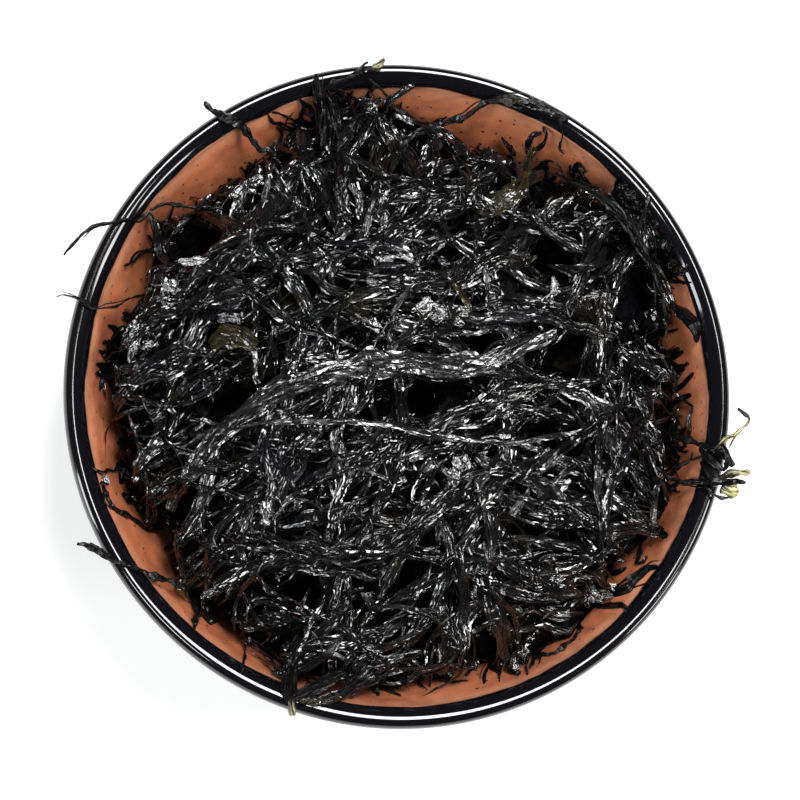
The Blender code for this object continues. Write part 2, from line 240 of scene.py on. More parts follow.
@dataclass(frozen=True)
class LaverFilm:
    """Dry laver: a thin, almost black film with a varnished shine and tints of olive and violet."""

    name: str
    black: tuple[float, float, float] = (0.0022, 0.0023, 0.0025)
    olive: tuple[float, float, float] = (0.0120, 0.0100, 0.0048)
    violet: tuple[float, float, float] = (0.0062, 0.0054, 0.0074)
    roughness: tuple[float, float] = (0.07, 0.24)
    ior: float = 1.82
    tint_scale: float = 62.0
    streak: tuple[float, float] = (4.6, 0.45)
    streak_depth: float = 0.00005
    crease: tuple[float, float] = (5.5, 1.3)
    crease_depth: float = 0.00034

    def material(self) -> bpy.types.Material:
        """Builds the node material, whose streaks run along each strand."""
        graph = NodeGraph(self.name)
        tint = graph.noise(self.tint_scale, 4.0, 0.6)
        color = graph.ramp(tint, (
            (0.30, self.violet), (0.42, self.black), (0.60, self.black), (0.74, self.olive)))
        streaks = graph.along_strand(self.streak, 3.0)
        gloss = graph.math("ADD", graph.noise(130.0, 3.0), graph.vary(streaks, -0.12, 0.12))
        ridge = graph.math("SUBTRACT", graph.along_strand(self.crease, 1.0), 0.5)
        creased = graph.bump(graph.math("ABSOLUTE", ridge), self.crease_depth, 1.0)
        return graph.dress(
            color, graph.spread(gloss, 0.32, 0.68, *self.roughness),
            graph.bump(streaks, self.streak_depth, 1.0, creased), self.ior)


@dataclass(frozen=True)
class PaleStem:
    """The stems and holdfasts that dried pale: straw yellow to green, black where the film is left."""

    name: str
    straw: tuple[float, float, float] = (0.58, 0.54, 0.28)
    green: tuple[float, float, float] = (0.20, 0.17, 0.055)
    brown: tuple[float, float, float] = (0.040, 0.028, 0.010)
    black: tuple[float, float, float] = (0.006, 0.005, 0.004)
    roughness: tuple[float, float] = (0.22, 0.5)
    ior: float = 1.5

    def material(self) -> bpy.types.Material:
        """Builds the node material, which reads how pale each point is."""
        graph = NodeGraph(self.name)
        paleness = graph.node("Attribute", attribute_name=PALENESS).outputs["Fac"]
        streaks = graph.along_strand((2.6, 0.45), 3.0)
        pale = graph.ramp(streaks, ((0.36, self.brown), (0.46, self.green), (0.58, self.straw)))
        patchy = graph.math("ADD", paleness, graph.vary(streaks, -0.3, 0.3))
        share = graph.spread(patchy, 0.30, 0.65, 0.0, 1.0)
        return graph.dress(
            graph.mix(share, self.black, pale), graph.vary(streaks, *self.roughness),
            graph.bump(streaks, 0.0004, 0.8), self.ior)


@dataclass(frozen=True)
class BlackGlaze:
    """The glaze of the lip and the outside: a deep, wet-looking black."""

    name: str = "black_glaze"
    color: tuple[float, float, float] = (0.0030, 0.0028, 0.0042)
    thin: tuple[float, float, float] = (0.0075, 0.0050, 0.0048)
    ior: float = 1.52
    gloss: tuple[float, float] = (0.05, 0.09)

    def material(self) -> bpy.types.Material:
        """Builds the node material."""
        graph = NodeGraph(self.name)
        cloud = graph.noise(38.0, 3.0, 0.3)
        return graph.dress(
            graph.ramp(cloud, ((0.45, self.color), (0.8, self.thin))),
            graph.vary(graph.noise(120.0, 2.0), *self.gloss),
            graph.bump(graph.noise(70.0, 1.0), 0.0004, 0.10), self.ior)


@dataclass(frozen=True)
class Terracotta:
    """The inside: satin red clay with soft clouds, pits and dark specks, black from the lip's edge up. A
    painted highlight pales the clay just below the glaze's edge, and painted shade darkens it near the
    heap's edge.
    """

    name: str = "terracotta"
    clay: tuple[float, float, float] = (0.690, 0.225, 0.102)
    light: tuple[float, float, float] = (0.790, 0.285, 0.142)
    deep: tuple[float, float, float] = (0.480, 0.142, 0.062)
    # Colour of the painted highlight on the wall's top, just below the glaze.
    rim: tuple[float, float, float] = (0.800, 0.370, 0.220)
    # Colour of the shade painted on the clay near the heap's edge.
    painted_shade_color: tuple[float, float, float] = (0.110, 0.030, 0.016)
    speck: tuple[float, float, float] = (0.016, 0.007, 0.005)
    glaze: BlackGlaze = field(default_factory=BlackGlaze)
    glaze_edge: float = 93.2
    glaze_roughness: float = 0.07
    edge_wave: float = 0.35
    edge_blur: float = 0.25
    speck_kinds: tuple = ((3.4, 0.20), (2.1, 0.27))
    ior: float = 1.5

    def radius(self, graph: NodeGraph) -> bpy.types.NodeSocket:
        """How far each point is from the bowl's axis, with a slight wave."""
        flat = graph.node("VectorMath", operation="MULTIPLY")
        graph.link(graph.place(), flat.inputs[0])
        flat.inputs[1].default_value = (1.0, 1.0, 0.0)
        length = graph.node("VectorMath", operation="LENGTH")
        graph.link(flat.outputs["Vector"], length.inputs[0])
        wave = graph.vary(graph.noise(45.0, 3.0), -self.edge_wave * MM, self.edge_wave * MM)
        return graph.math("ADD", length.outputs["Value"], wave)

    def specks(self, graph: NodeGraph, spacing: float, size: float) -> bpy.types.NodeSocket:
        """Scatters round dark specks.

        Args:
            graph: the material that is built.
            spacing: how far apart they are, in millimetres.
            size: how big they are, as a share of the spacing.

        Returns:
            1 on a speck and 0 beside it.
        """
        cells = graph.node("TexVoronoi", feature="F1")
        cells.inputs["Scale"].default_value = 1 / (spacing * MM)
        graph.link(graph.place(), cells.inputs["Vector"])
        chance = graph.node("SeparateColor")
        graph.link(cells.outputs["Color"], chance.inputs["Color"])
        limit = graph.spread(chance.outputs["Red"], 0.55, 1.0, 0.0, size)
        return graph.spread(
            graph.math("SUBTRACT", limit, cells.outputs["Distance"]), 0.0, 0.03, 0.0, 1.0)

    def material(self) -> bpy.types.Material:
        """Builds the node material."""
        graph = NodeGraph(self.name)
        cloud = graph.noise(34.0, 4.0, 0.5)
        clay = graph.ramp(cloud, ((0.30, self.deep), (0.5, self.clay), (0.70, self.light)))
        fine = graph.noise(700.0, 3.0)
        clay = graph.mix(graph.spread(fine, 0.56, 0.80, 0.0, 0.30), clay, self.deep)
        for spacing, size in self.speck_kinds:
            clay = graph.mix(self.specks(graph, spacing, size), clay, self.speck)
        radius, edge = self.radius(graph), self.glaze_edge * MM
        # Painted highlight: the clay pales towards the glaze's edge, where light falls brightest on the
        # wall.
        clay = graph.mix(graph.spread(radius, edge - 2.0 * MM, edge - 0.3 * MM, 0.0, 0.6), clay, self.rim)
        # Painted shade: the clay is darkened near the heap's edge, where the heap's shadow falls.
        painted_shade = graph.math("ADD", graph.node("Attribute", attribute_name=PAINTED_SHADE).outputs["Fac"],
                          graph.vary(graph.noise(160.0, 3.0), -0.3, 0.3))
        clay = graph.mix(graph.spread(painted_shade, 0.0, 1.0, 0.0, 0.85), clay, self.painted_shade_color)
        glazed = graph.spread(radius, edge, edge + self.edge_blur * MM, 0.0, 1.0)
        bare = graph.math("SUBTRACT", 1.0, glazed)
        satin = graph.vary(graph.noise(150.0, 3.0), 0.34, 0.46)
        rougher = graph.math("MULTIPLY", graph.math("SUBTRACT", satin, self.glaze_roughness), bare)
        pits = graph.math("MULTIPLY", graph.math("ADD", fine, graph.noise(90.0, 2.0)), bare)
        return graph.dress(
            graph.mix(glazed, clay, self.glaze.color), graph.math("ADD", rougher, self.glaze_roughness),
            graph.bump(pits, 0.00022, 0.35), self.ior)


@dataclass(frozen=True)
class PaleFloor:
    """The plain pale floor, lit a little from below like a light table."""

    name: str = "pale_floor"
    low: tuple[float, float, float] = (0.90, 0.90, 0.90)
    high: tuple[float, float, float] = (0.94, 0.94, 0.94)
    glow: float = 0.43

    def material(self) -> bpy.types.Material:
        """Builds the node material."""
        graph = NodeGraph(self.name)
        graph.link(
            graph.ramp(graph.noise(6.0), ((0.3, self.low), (0.7, self.high))),
            graph.shader.inputs["Base Color"])
        graph.shader.inputs["Roughness"].default_value = 0.9
        graph.shader.inputs["Emission Color"].default_value = (1.0, 1.0, 1.0, 1.0)
        graph.shader.inputs["Emission Strength"].default_value = self.glow
        return graph.material


# ---------------------------------------------------------------- lines and films


def add_object(name: str, data: bpy.types.ID) -> bpy.types.Object:
    """Adds an object with this mesh, light or camera to the scene."""
    made = bpy.data.objects.new(name, data)
    bpy.context.scene.collection.objects.link(made)
    return made


def unit(vectors: np.ndarray) -> np.ndarray:
    """Vectors of length 1, one a row."""
    return vectors / np.maximum(1e-9, np.linalg.norm(vectors, axis=-1, keepdims=True))


def arc_length(line: np.ndarray) -> np.ndarray:
    """How far along a line each of its points is."""
    return np.concatenate([[0.0], np.cumsum(np.linalg.norm(np.diff(line, axis=0), axis=1))])


def beside(line: np.ndarray) -> np.ndarray:
    """The direction to one side of a flat line at each of its points."""
    along = unit(np.gradient(line, axis=0))
    return np.column_stack([along[:, 1], -along[:, 0]])


def side_of(route: np.ndarray) -> np.ndarray:
    """The level direction across a route in space at each of its points."""
    return unit(np.cross(unit(np.gradient(route, axis=0)), UP) + 1e-6)


def grid_quads(index: np.ndarray) -> np.ndarray:
    """The four-sided faces of a grid of point numbers, one a row."""
    quads = np.stack([index[:-1, :-1], index[:-1, 1:], index[1:, 1:], index[1:, :-1]], axis=-1)
    return quads.reshape(-1, 4)


def facet_disc(cells: int) -> tuple[np.ndarray, np.ndarray]:
    """A square grid of points drawn in to a disc of radius 1, as its two coordinates."""
    line = np.linspace(-1.0, 1.0, cells + 1)
    u, v = np.meshgrid(line, line, indexing="ij")
    return u * np.sqrt(1 - v * v / 2), v * np.sqrt(1 - u * u / 2)


def soften(values: np.ndarray, reach: int) -> np.ndarray:
    """Averages each value with its neighbours, near ones most, as far as the reach."""
    kernel = np.hanning(2 * reach + 3)[1:-1]
    return np.convolve(np.pad(values, reach, mode="edge"), kernel / kernel.sum(), mode="valid")


def wander(arc: np.ndarray, wavelength: float, rng: np.random.Generator, columns: int = 0) -> np.ndarray:
    """Smooth random values of -1 to 1 along a line.

    Args:
        arc: how far along the line each point is.
        wavelength: how far apart the values turn.
        rng: where the random values come from.
        columns: how many lines of values are made side by side, or 0 for one plain line.

    Returns:
        One value for each point, or one row of values.
    """
    span = arc / wavelength
    count = int(span[-1]) + 3
    knots = rng.uniform(-1.0, 1.0, (count, columns) if columns else count)
    low = np.minimum(span.astype(int), count - 2)
    share = span - low
    share = share * share * (3 - 2 * share)
    if columns:
        share = share[:, None]
    return knots[low] * (1 - share) + knots[low + 1] * share


def smooth_line(stops: np.ndarray, step: float) -> np.ndarray:
    """Evenly spaced points on a smooth curve.

    Args:
        stops: the points that it goes through, one a row.
        step: how far apart the points come.

    Returns:
        The points, one a row.
    """
    ends = (2 * stops[0] - stops[1], 2 * stops[-1] - stops[-2])
    padded = np.vstack([ends[0], stops, ends[1]])
    t = np.linspace(0, 1, 10, endpoint=False)[:, None]
    parts = []
    for before, start, end, after in zip(padded, padded[1:], padded[2:], padded[3:]):
        parts.append(0.5 * (
            2 * start + (end - before) * t + (2 * before - 5 * start + 4 * end - after) * t ** 2
            + (3 * start - before - 3 * end + after) * t ** 3))
    fine = np.vstack(parts + [stops[-1:]])
    gone = arc_length(fine)
    even = np.linspace(0.0, gone[-1], max(4, round(gone[-1] / step)) + 1)
    return np.column_stack([np.interp(even, gone, fine[:, axis]) for axis in range(fine.shape[1])])


@dataclass(frozen=True)
class StrandStyle:
    """How one kind of strand is folded. Lengths are millimetres and angles are degrees.

    A film is pleated lengthwise, ridge to ridge at the pitch. A rope is a closed strand with as many
    sides as it has columns.
    """

    columns: int = 5
    pitch: float = 1.0
    step: float = 1.1
    pleat: float = 0.26
    pleat_length: float = 5.0
    twist: float = 30.0
    twist_length: float = 24.0
    gather_length: float = 12.0
    cup: float = 0.32
    cup_length: float = 18.0
    crumple: float = 0.22
    crumple_length: float = 4.2
    crimp: float = 0.55
    crimp_length: float = 4.4
    jitter: float = 0.035
    ragged: float = 0.16
    ragged_length: float = 3.0
    tip: float = 0.30
    change: float = 0.35
    change_length: float = 9.0
    rope: bool = False
    flatness: float = 0.55

    def sheet(self, arc: np.ndarray, half: np.ndarray, rng: np.random.Generator) -> tuple:
        """Where a pleated film's points lie across and through the strand.

        Args:
            arc: how far along each section is.
            half: half the width at each section.
            rng: where the random values come from.

        Returns:
            The offsets across and through, each with a row for a section.
        """
        columns = 2 * max(2, round(2 * half.mean() / self.pitch)) + 1
        across = np.linspace(-1.0, 1.0, columns)
        sign = np.where(np.arange(columns) % 2, 1.0, -1.0)
        gathered = across + 0.9 / columns * wander(arc, self.gather_length, rng, columns)
        gathered[:, (0, -1)] += self.ragged * wander(arc, self.ragged_length, rng, 2)
        fold = sign * self.pleat * (0.7 + 0.6 * wander(arc, self.pleat_length, rng, columns))
        fold *= np.minimum(1.0, 0.35 + 0.65 * half / half.max())[:, None]
        cup = self.cup * (wander(arc, self.cup_length, rng) - 0.4)
        bowed = cup[:, None] * half[:, None] * (across ** 2 - 0.35)
        crumple = self.crumple * wander(arc, self.crumple_length, rng, columns)
        return gathered * half[:, None], fold + bowed + crumple

    def bundle(self, arc: np.ndarray, half: np.ndarray, rng: np.random.Generator) -> tuple:
        """Where a closed, rope-like strand's points lie across and through it, as in sheet()."""
        angle = math.tau * np.arange(self.columns) / self.columns
        fold = 1 + self.pleat * wander(arc, self.pleat_length, rng, self.columns)
        return half[:, None] * np.cos(angle) * fold, half[:, None] * self.flatness * np.sin(angle) * fold

    def skin(self, route: np.ndarray, width: float, rng: np.random.Generator,
             tilt: np.ndarray | float = 0.0) -> np.ndarray:
        """The strand's points.

        Args:
            route: the strand's middle line, one point a row.
            width: its full width.
            rng: where the random values come from.
            tilt: how far it leans over sideways, in radians.

        Returns:
            Points by section, column and axis.
        """
        arc = arc_length(route)
        side = side_of(route)
        rise = np.cross(side, unit(np.gradient(route, axis=0)))
        roll = tilt + math.radians(self.twist) * wander(arc, self.twist_length, rng)
        taper = self.tip + (1 - self.tip) * np.sin(math.pi * np.clip(arc / arc[-1], 0.0, 1.0)) ** 0.5
        half = width / 2 * taper * (1 + self.change * wander(arc, self.change_length, rng))
        across, through = (self.bundle if self.rope else self.sheet)(arc, half, rng)
        turn_a = (side * np.cos(roll)[:, None] + rise * np.sin(roll)[:, None])[:, None, :]
        turn_b = (rise * np.cos(roll)[:, None] - side * np.sin(roll)[:, None])[:, None, :]
        crimped = route + side * (self.crimp * wander(arc, self.crimp_length, rng))[:, None]
        points = crimped[:, None, :] + across[..., None] * turn_a + through[..., None] * turn_b
        return points + rng.normal(0.0, self.jitter, points.shape)


class Film:
    """Collects strands and scraps of one kind, and makes one mesh of them."""

    def __init__(self, name: str) -> None:
        """Starts an empty piece."""
        self.name = name
        self.points: list[np.ndarray] = []
        self.faces: list[np.ndarray] = []
        self.grain: list[np.ndarray] = []
        self.paleness: list[np.ndarray] = []
        self.count = 0

    def add_grid(self, grid: np.ndarray, rope: bool, pale: np.ndarray | float = 0.0) -> None:
        """Adds a strand's skin, with how far along and across it each point is.

        Args:
            grid: points by section, column and axis.
            rope: True for a closed strand, whose last column meets its first.
            pale: how pale it is, one value or one for each section.
        """
        rows, columns = grid.shape[:2]
        along = np.linalg.norm(np.diff(grid.mean(axis=1), axis=0), axis=1)
        across = np.linalg.norm(np.diff(grid, axis=1), axis=2).mean(axis=0)
        grain = np.zeros((rows, columns, 3))
        grain[1:, :, 0] = np.cumsum(along)[:, None]
        grain[:, 1:, 1] = np.cumsum(across)[None, :]
        grain[..., 2] = 7.3 * len(self.points)
        self.grain.append(grain.reshape(-1, 3))
        index = np.arange(rows * columns).reshape(rows, columns) + self.count
        if rope:
            index = np.hstack([index, index[:, :1]])
        faces = [grid_quads(index)]
        if rope:
            for end in (index[0, :-1][::-1], index[-1, :-1]):
                for first in range(1, columns - 2, 2):
                    faces.append(end[None, [0, first, first + 1, first + 2]])
        self.paleness.append(np.repeat(np.broadcast_to(pale, (rows,)), columns))
        self.points.append(grid.reshape(-1, 3))
        self.faces.append(np.vstack(faces))
        self.count += rows * columns

    def build(self, material: bpy.types.Material, smooth: bool = True) -> bpy.types.Object:
        """Makes the mesh, in metres.

        Args:
            material: its finish.
            smooth: whether its faces are shaded as one round surface.

        Returns:
            The new object.
        """
        points = np.vstack(self.points) * MM
        faces = np.vstack(self.faces)
        mesh = bpy.data.meshes.new(self.name)
        mesh.vertices.add(len(points))
        mesh.vertices.foreach_set("co", points.astype(np.float32).ravel())
        mesh.loops.add(faces.size)
        mesh.loops.foreach_set("vertex_index", faces.astype(np.int32).ravel())
        mesh.polygons.add(len(faces))
        mesh.polygons.foreach_set("loop_start", np.arange(0, faces.size, 4, dtype=np.int32))
        mesh.update(calc_edges=True)
        mesh.validate()
        mesh.polygons.foreach_set("use_smooth", np.full(len(mesh.polygons), smooth))
        grain = mesh.attributes.new(GRAIN, "FLOAT_VECTOR", "POINT")
        grain.data.foreach_set("vector", np.vstack(self.grain).astype(np.float32).ravel())
        shade = mesh.attributes.new(PALENESS, "FLOAT", "POINT")
        shade.data.foreach_set("value", np.concatenate(self.paleness).astype(np.float32))
        mesh.materials.append(material)
        LOG.info("%s: %d points, %d faces", self.name, len(points), len(faces))
        return add_object(self.name, mesh)


# ---------------------------------------------------------------- bowl


@dataclass(frozen=True)
class BowlShape:
    """The bowl's section, with the same sizes as the CAD model's."""

    height: float = 70.0
    lip_radius: float = 100.0
    crest_radius: float = 97.7
    inner_radius: float = 93.2
    outer_drop: float = 3.5
    inner_drop: float = 4.5
    foot_radius: float = 40.0
    foot_height: float = 5.0
    foot_chamfer: float = 1.0
    foot_inside: float = 12.0
    floor_height: float = 8.0
    floor_radius: float = 34.0
    floor_dish: tuple = ((24.0, 7.85), (12.0, 7.65))
    floor_middle: float = 7.6
    inner_tangent: tuple[float, float] = (-0.30, -0.95)
    inner_reach: tuple[float, float] = (26.0, 34.0)
    outer_start: tuple[float, float] = (41.5, 6.0)
    outer_end: tuple[float, float] = (98.6, 62.0)
    outer_tangent: tuple[float, float] = (-0.28, -0.96)
    outer_reach: tuple[float, float] = (26.0, 30.0)
    wall_steps: int = 44
    lip_steps: int = 18

    def arc(self, corners: tuple) -> np.ndarray:
        """Points along a cubic arc given by its two ends and two handles."""
        t = np.linspace(0, 1, self.wall_steps + 1)[:, None]
        weights = ((1 - t) ** 3, 3 * t * (1 - t) ** 2, 3 * t * t * (1 - t), t ** 3)
        return sum(w * np.array(c) for w, c in zip(weights, corners))

    def inner_wall(self) -> np.ndarray:
        """(radius, height) from the lip's inner edge down to the floor."""
        start = np.array([self.inner_radius, self.height - self.inner_drop])
        end = np.array([self.floor_radius, self.floor_height])
        handle = start + self.inner_reach[0] * np.array(self.inner_tangent)
        return self.arc((start, handle, end + (self.inner_reach[1], 0.0), end))

    def outer_wall(self) -> np.ndarray:
        """(radius, height) from the foot up to the lip."""
        start, end = np.array(self.outer_start), np.array(self.outer_end)
        handle = end + self.outer_reach[1] * np.array(self.outer_tangent)
        return self.arc((start, start + (self.outer_reach[0], 0.0), handle, end))

    def lip_outside(self) -> np.ndarray:
        """(radius, height) from the lip's widest point up to its crest."""
        a = np.radians(np.linspace(0, 90, self.lip_steps + 1))
        return np.column_stack([
            self.crest_radius + (self.lip_radius - self.crest_radius) * np.cos(a),
            self.height - self.outer_drop * (1 - np.sin(a))])

    def lip_inside(self) -> np.ndarray:
        """(radius, height) from just past the crest to just above the lip's inner edge."""
        a = np.radians(np.linspace(0, 90, self.lip_steps + 1))[1:-1]
        return np.column_stack([
            self.crest_radius - (self.crest_radius - self.inner_radius) * np.sin(a),
            self.height - self.inner_drop * (1 - np.cos(a))])

    def top(self, radius: np.ndarray) -> np.ndarray:
        """Height of the bowl's upper side, wall and lip alike, at each radius."""
        line = np.vstack([self.lip_outside(), self.lip_inside(), self.inner_wall()])
        line = line[np.argsort(line[:, 0])]
        return np.interp(radius, line[:, 0], line[:, 1])


@dataclass
class Bowl:
    """The turned bowl: a fine lathe of the CAD section, with its glaze and its clay."""

    shape: BowlShape
    heap_edge: Callable[[np.ndarray, np.ndarray], np.ndarray]
    segments: int = 240
    # How far from the heap's edge the painted shade reaches, in millimetres.
    painted_shade_width: float = 8.5

    def sections(self) -> tuple[np.ndarray, np.ndarray]:
        """The section as (radius, height) rows, and for each span 1 where clay may show."""
        shape = self.shape
        chamfer = shape.foot_radius - shape.foot_chamfer
        foot = np.array([
            (shape.foot_inside, 0.0), (chamfer - 0.4, 0.0), (chamfer, 0.0),
            (shape.foot_radius, shape.foot_chamfer),
            (shape.foot_radius, shape.foot_chamfer + 0.4), (shape.foot_radius, shape.foot_height),
            (shape.foot_radius + 0.5, shape.foot_height + 0.7)])
        outside = np.vstack([foot, shape.outer_wall(), shape.lip_outside()])
        inside = np.vstack([shape.lip_inside(), shape.inner_wall(), np.array(shape.floor_dish)])
        line = np.vstack([outside, inside])
        kinds = np.zeros(len(line) - 1, int)
        kinds[:3] = 1
        kinds[len(outside) - 1:] = 1
        return line, kinds

    def build(self) -> bpy.types.Object:
        """Makes the bowl's mesh and dresses it."""
        line, kinds = self.sections()
        angles = math.tau * np.arange(self.segments) / self.segments
        ring = np.column_stack([np.cos(angles), np.sin(angles)])
        points = np.concatenate([
            np.column_stack([ring * radius, np.full(self.segments, height)]) for radius, height in line])
        index = np.arange(len(line) * self.segments).reshape(len(line), self.segments)
        index = np.hstack([index, index[:, :1]])
        poles = np.array([[0.0, 0.0, 0.0], [0.0, 0.0, self.shape.floor_middle]])
        mesh = bpy.data.meshes.new("glazed_bowl")
        faces = grid_quads(index).tolist()
        first, last = len(points), len(points) + 1
        faces += [(first, index[0, i + 1], index[0, i]) for i in range(self.segments)]
        faces += [(last, index[-1, i], index[-1, i + 1]) for i in range(self.segments)]
        mesh.from_pydata((np.vstack([points, poles]) * MM).tolist(), [], faces)
        # Painted shade: each point's share of the heap's shadow painted on the clay, fading with its
        # distance from the heap's edge; the two poles at the bottom are fully shaded.
        clear = np.hypot(points[:, 0], points[:, 1]) - self.heap_edge(points[:, 0], points[:, 1])
        painted_shade = np.append(np.clip(1 - clear / self.painted_shade_width, 0.0, 1.0) ** 1.3, (1.0, 1.0))
        mesh.attributes.new(PAINTED_SHADE, "FLOAT", "POINT").data.foreach_set("value", painted_shade.astype(np.float32))
        slots = np.concatenate([np.repeat(kinds, self.segments), np.ones(2 * self.segments, int)])
        mesh.polygons.foreach_set("material_index", slots)
        mesh.polygons.foreach_set("use_smooth", np.full(len(mesh.polygons), True))
        mesh.materials.append(BlackGlaze().material())
        mesh.materials.append(Terracotta(glaze_edge=self.shape.inner_radius).material())
        made = add_object("glazed_bowl", mesh)
        LOG.info("glazed_bowl: %d faces", len(mesh.polygons))
        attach(made, "root")
        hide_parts("bowl")
        return made


# ---------------------------------------------------------------- heap


@dataclass
class HeapForm:
    """The heap's general shape and the way its strands lie, with the CAD model's values."""

    bowl: BowlShape
    radius: float = 87.5
    top: float = 75.5
    roundness: float = 0.75
    above_wall: float = 4.0
    bump: float = 4.2
    bump_size: float = 17.0
    edge_noise: float = 1.2
    lobes: tuple = ((28.0, 17.0, 3.0), (97.0, 9.0, 2.5), (252.0, 8.0, 2.5), (333.0, 8.0, 2.0))
    hollows: tuple = (
        (12.0, 7.0, 5.5), (72.0, 13.0, 8.0), (126.0, 13.0, 5.5), (160.0, 8.0, 5.5), (192.0, 10.0, 3.5),
        (211.0, 7.0, 7.5), (232.0, 8.0, 2.5), (283.0, 11.0, 3.0), (321.0, 8.0, 4.5), (346.0, 7.0, 2.0))
    combing: tuple = (
        (-44, -49, 42), (-55, -10, 50), (-59, 22, 35), (-44, 44, 28), (-22, 66, 92),
        (4, 46, 8), (26, 20, 18), (48, 48, 62), (72, 22, 104), (74, -14, 118),
        (60, -48, 162), (38, -30, 26), (14, -66, 82), (-20, -74, 34), (0, -34, 45))
    combing_reach: float = 22.0

    def __post_init__(self) -> None:
        """Works out the heap's edge all round once."""
        self.edge_turns = np.radians(np.arange(-180, 181))
        wave = [noise.noise(Vector((3 * math.cos(a), 3 * math.sin(a), 5.0))) for a in self.edge_turns]
        self.edge_radii = self.radius + self.waves(self.lobes) + self.edge_noise * np.array(wave)
        self.strand_radii = self.edge_radii - self.waves(self.hollows)
        guides = np.array(self.combing, float)
        self.guides = guides[:, :2]
        self.guide_turns = 2 * np.radians(guides[:, 2])

    def waves(self, places: tuple) -> np.ndarray:
        """Adds up soft swellings of the edge, each given by its direction, half width and height."""
        total = np.zeros(len(self.edge_turns))
        for direction, half_width, height in places:
            turn = (np.degrees(self.edge_turns) - direction + 180) % 360 - 180
            total += height * np.exp(-(turn / half_width) ** 2)
        return total

    def edge(self, x: np.ndarray, y: np.ndarray) -> np.ndarray:
        """Radius of the heap's edge in each point's direction, as in the CAD model."""
        return np.interp(np.arctan2(y, x), self.edge_turns, self.edge_radii)

    def reach(self, x: np.ndarray, y: np.ndarray) -> np.ndarray:
        """Radius that the strands reach in each point's direction, with the edge's hollows."""
        return np.interp(np.arctan2(y, x), self.edge_turns, self.strand_radii)

    def dome(self, x: np.ndarray, y: np.ndarray, rough: np.ndarray) -> np.ndarray:
        """Height of the heap's upper side.

        Args:
            x, y: the points.
            rough: the unevenness at each point, -1 to 1.

        Returns:
            The heights.
        """
        edge = self.edge(x, y)
        rim = self.bowl.top(edge) + self.above_wall
        dome = np.maximum(0.0, 1 - (np.hypot(x, y) / edge) ** 2) ** self.roundness
        return rim + (self.top - rim) * dome + self.bump * rough * np.minimum(1.0, 2.5 * dome)

    def direction(self, x: float, y: float) -> float:
        """The way the strands lie at a place, in radians."""
        far = np.hypot(self.guides[:, 0] - x, self.guides[:, 1] - y)
        weight = np.exp(-(far / self.combing_reach) ** 2)
        return math.atan2(weight @ np.sin(self.guide_turns), weight @ np.cos(self.guide_turns)) / 2


@dataclass
class HeightMap:
    """A square grid of heights that strands are laid on, and that rises under each of them.

    A strand feels what lies under its middle and under two lanes beside it.
    """

    half: float = 112.0
    cell: float = 0.8
    coarse_cell: float = 2.0
    lane: float = 0.36
    settle: float = 0.3
    tilt_share: float = 0.6

    def __post_init__(self) -> None:
        """Lays out the grid."""
        self.count = int(2 * self.half / self.cell) + 1
        line = np.linspace(-self.half, self.half, self.count)
        self.x, self.y = np.meshgrid(line, line, indexing="ij")
        self.z = np.zeros(self.x.shape)

    def rough(self, size: float, layer: float) -> np.ndarray:
        """Smooth noise over the grid, with bumps of the given size."""
        coarse = np.arange(-self.half, self.half + self.coarse_cell, self.coarse_cell)
        values = np.array([
            [noise.noise(Vector((a / size, b / size, layer))) for b in coarse] for a in coarse])
        across, down = (self.x + self.half) / self.coarse_cell, (self.y + self.half) / self.coarse_cell
        return self.blend(values, across, down)

    @staticmethod
    def blend(values: np.ndarray, across: np.ndarray, down: np.ndarray) -> np.ndarray:
        """Reads a grid between its points.

        Args:
            values: the grid.
            across, down: where it is read, counted in its own cells.

        Returns:
            The values there.
        """
        across = np.clip(across, 0, values.shape[0] - 1.001)
        down = np.clip(down, 0, values.shape[1] - 1.001)
        i, j = across.astype(int), down.astype(int)
        a, b = across - i, down - j
        near = values[i, j] * (1 - b) + values[i, j + 1] * b
        far = values[i + 1, j] * (1 - b) + values[i + 1, j + 1] * b
        return near * (1 - a) + far * a

    def sample(self, values: np.ndarray, x: np.ndarray, y: np.ndarray) -> np.ndarray:
        """What a grid of values over the same cells holds at each point."""
        return self.blend(values, (x + self.half) / self.cell, (y + self.half) / self.cell)

    def read(self, x: np.ndarray, y: np.ndarray) -> np.ndarray:
        """The height at each point."""
        return self.sample(self.z, x, y)

    def raise_to(self, x: np.ndarray, y: np.ndarray, z: np.ndarray) -> None:
        """Lifts the cells under these points to the points' height."""
        i = np.clip(np.rint((x + self.half) / self.cell).astype(int), 0, self.count - 1)
        j = np.clip(np.rint((y + self.half) / self.cell).astype(int), 0, self.count - 1)
        np.maximum.at(self.z, (i, j), z)

    def rest(self, line: np.ndarray, width: float, stiffness: float) -> tuple[np.ndarray, np.ndarray]:
        """Lays a flat line on what is there.

        Args:
            line: the (x, y) points of the strand's middle.
            width: its full width.
            stiffness: how long a gap it bridges.

        Returns:
            Its height and its sideways tilt at each point.
        """
        sideways = beside(line)
        offsets = (-self.lane, 0.0, self.lane)
        lanes = [self.read(*(line + sideways * offset * width).T) for offset in offsets]
        high = np.maximum(lanes[1], 0.5 * (lanes[0] + lanes[2]))
        step = np.linalg.norm(line[1] - line[0])
        reach = max(1, round(stiffness / step))
        padded = np.pad(high, reach, mode="edge")
        tops = np.max([padded[k:k + len(high)] for k in range(2 * reach + 1)], axis=0)
        height = 0.5 * np.maximum(soften(tops, reach), high) + 0.5 * soften(high, reach)
        tilt = np.arctan2(lanes[2] - lanes[0], 2 * self.lane * width)
        return np.maximum(height, high - self.settle), self.tilt_share * soften(tilt, reach)

    def cover(self, route: np.ndarray, width: float, thickness: float) -> None:
        """Raises the map under a strand that has been laid.

        Args:
            route: its middle line.
            width: its full width.
            thickness: how much it adds to the pile.
        """
        sideways = beside(route[:, :2])
        for offset in np.arange(-width / 2, width / 2 + 0.01, self.cell * 0.8):
            lane = route[:, :2] + sideways * offset
            self.raise_to(lane[:, 0], lane[:, 1], route[:, 2] + thickness)


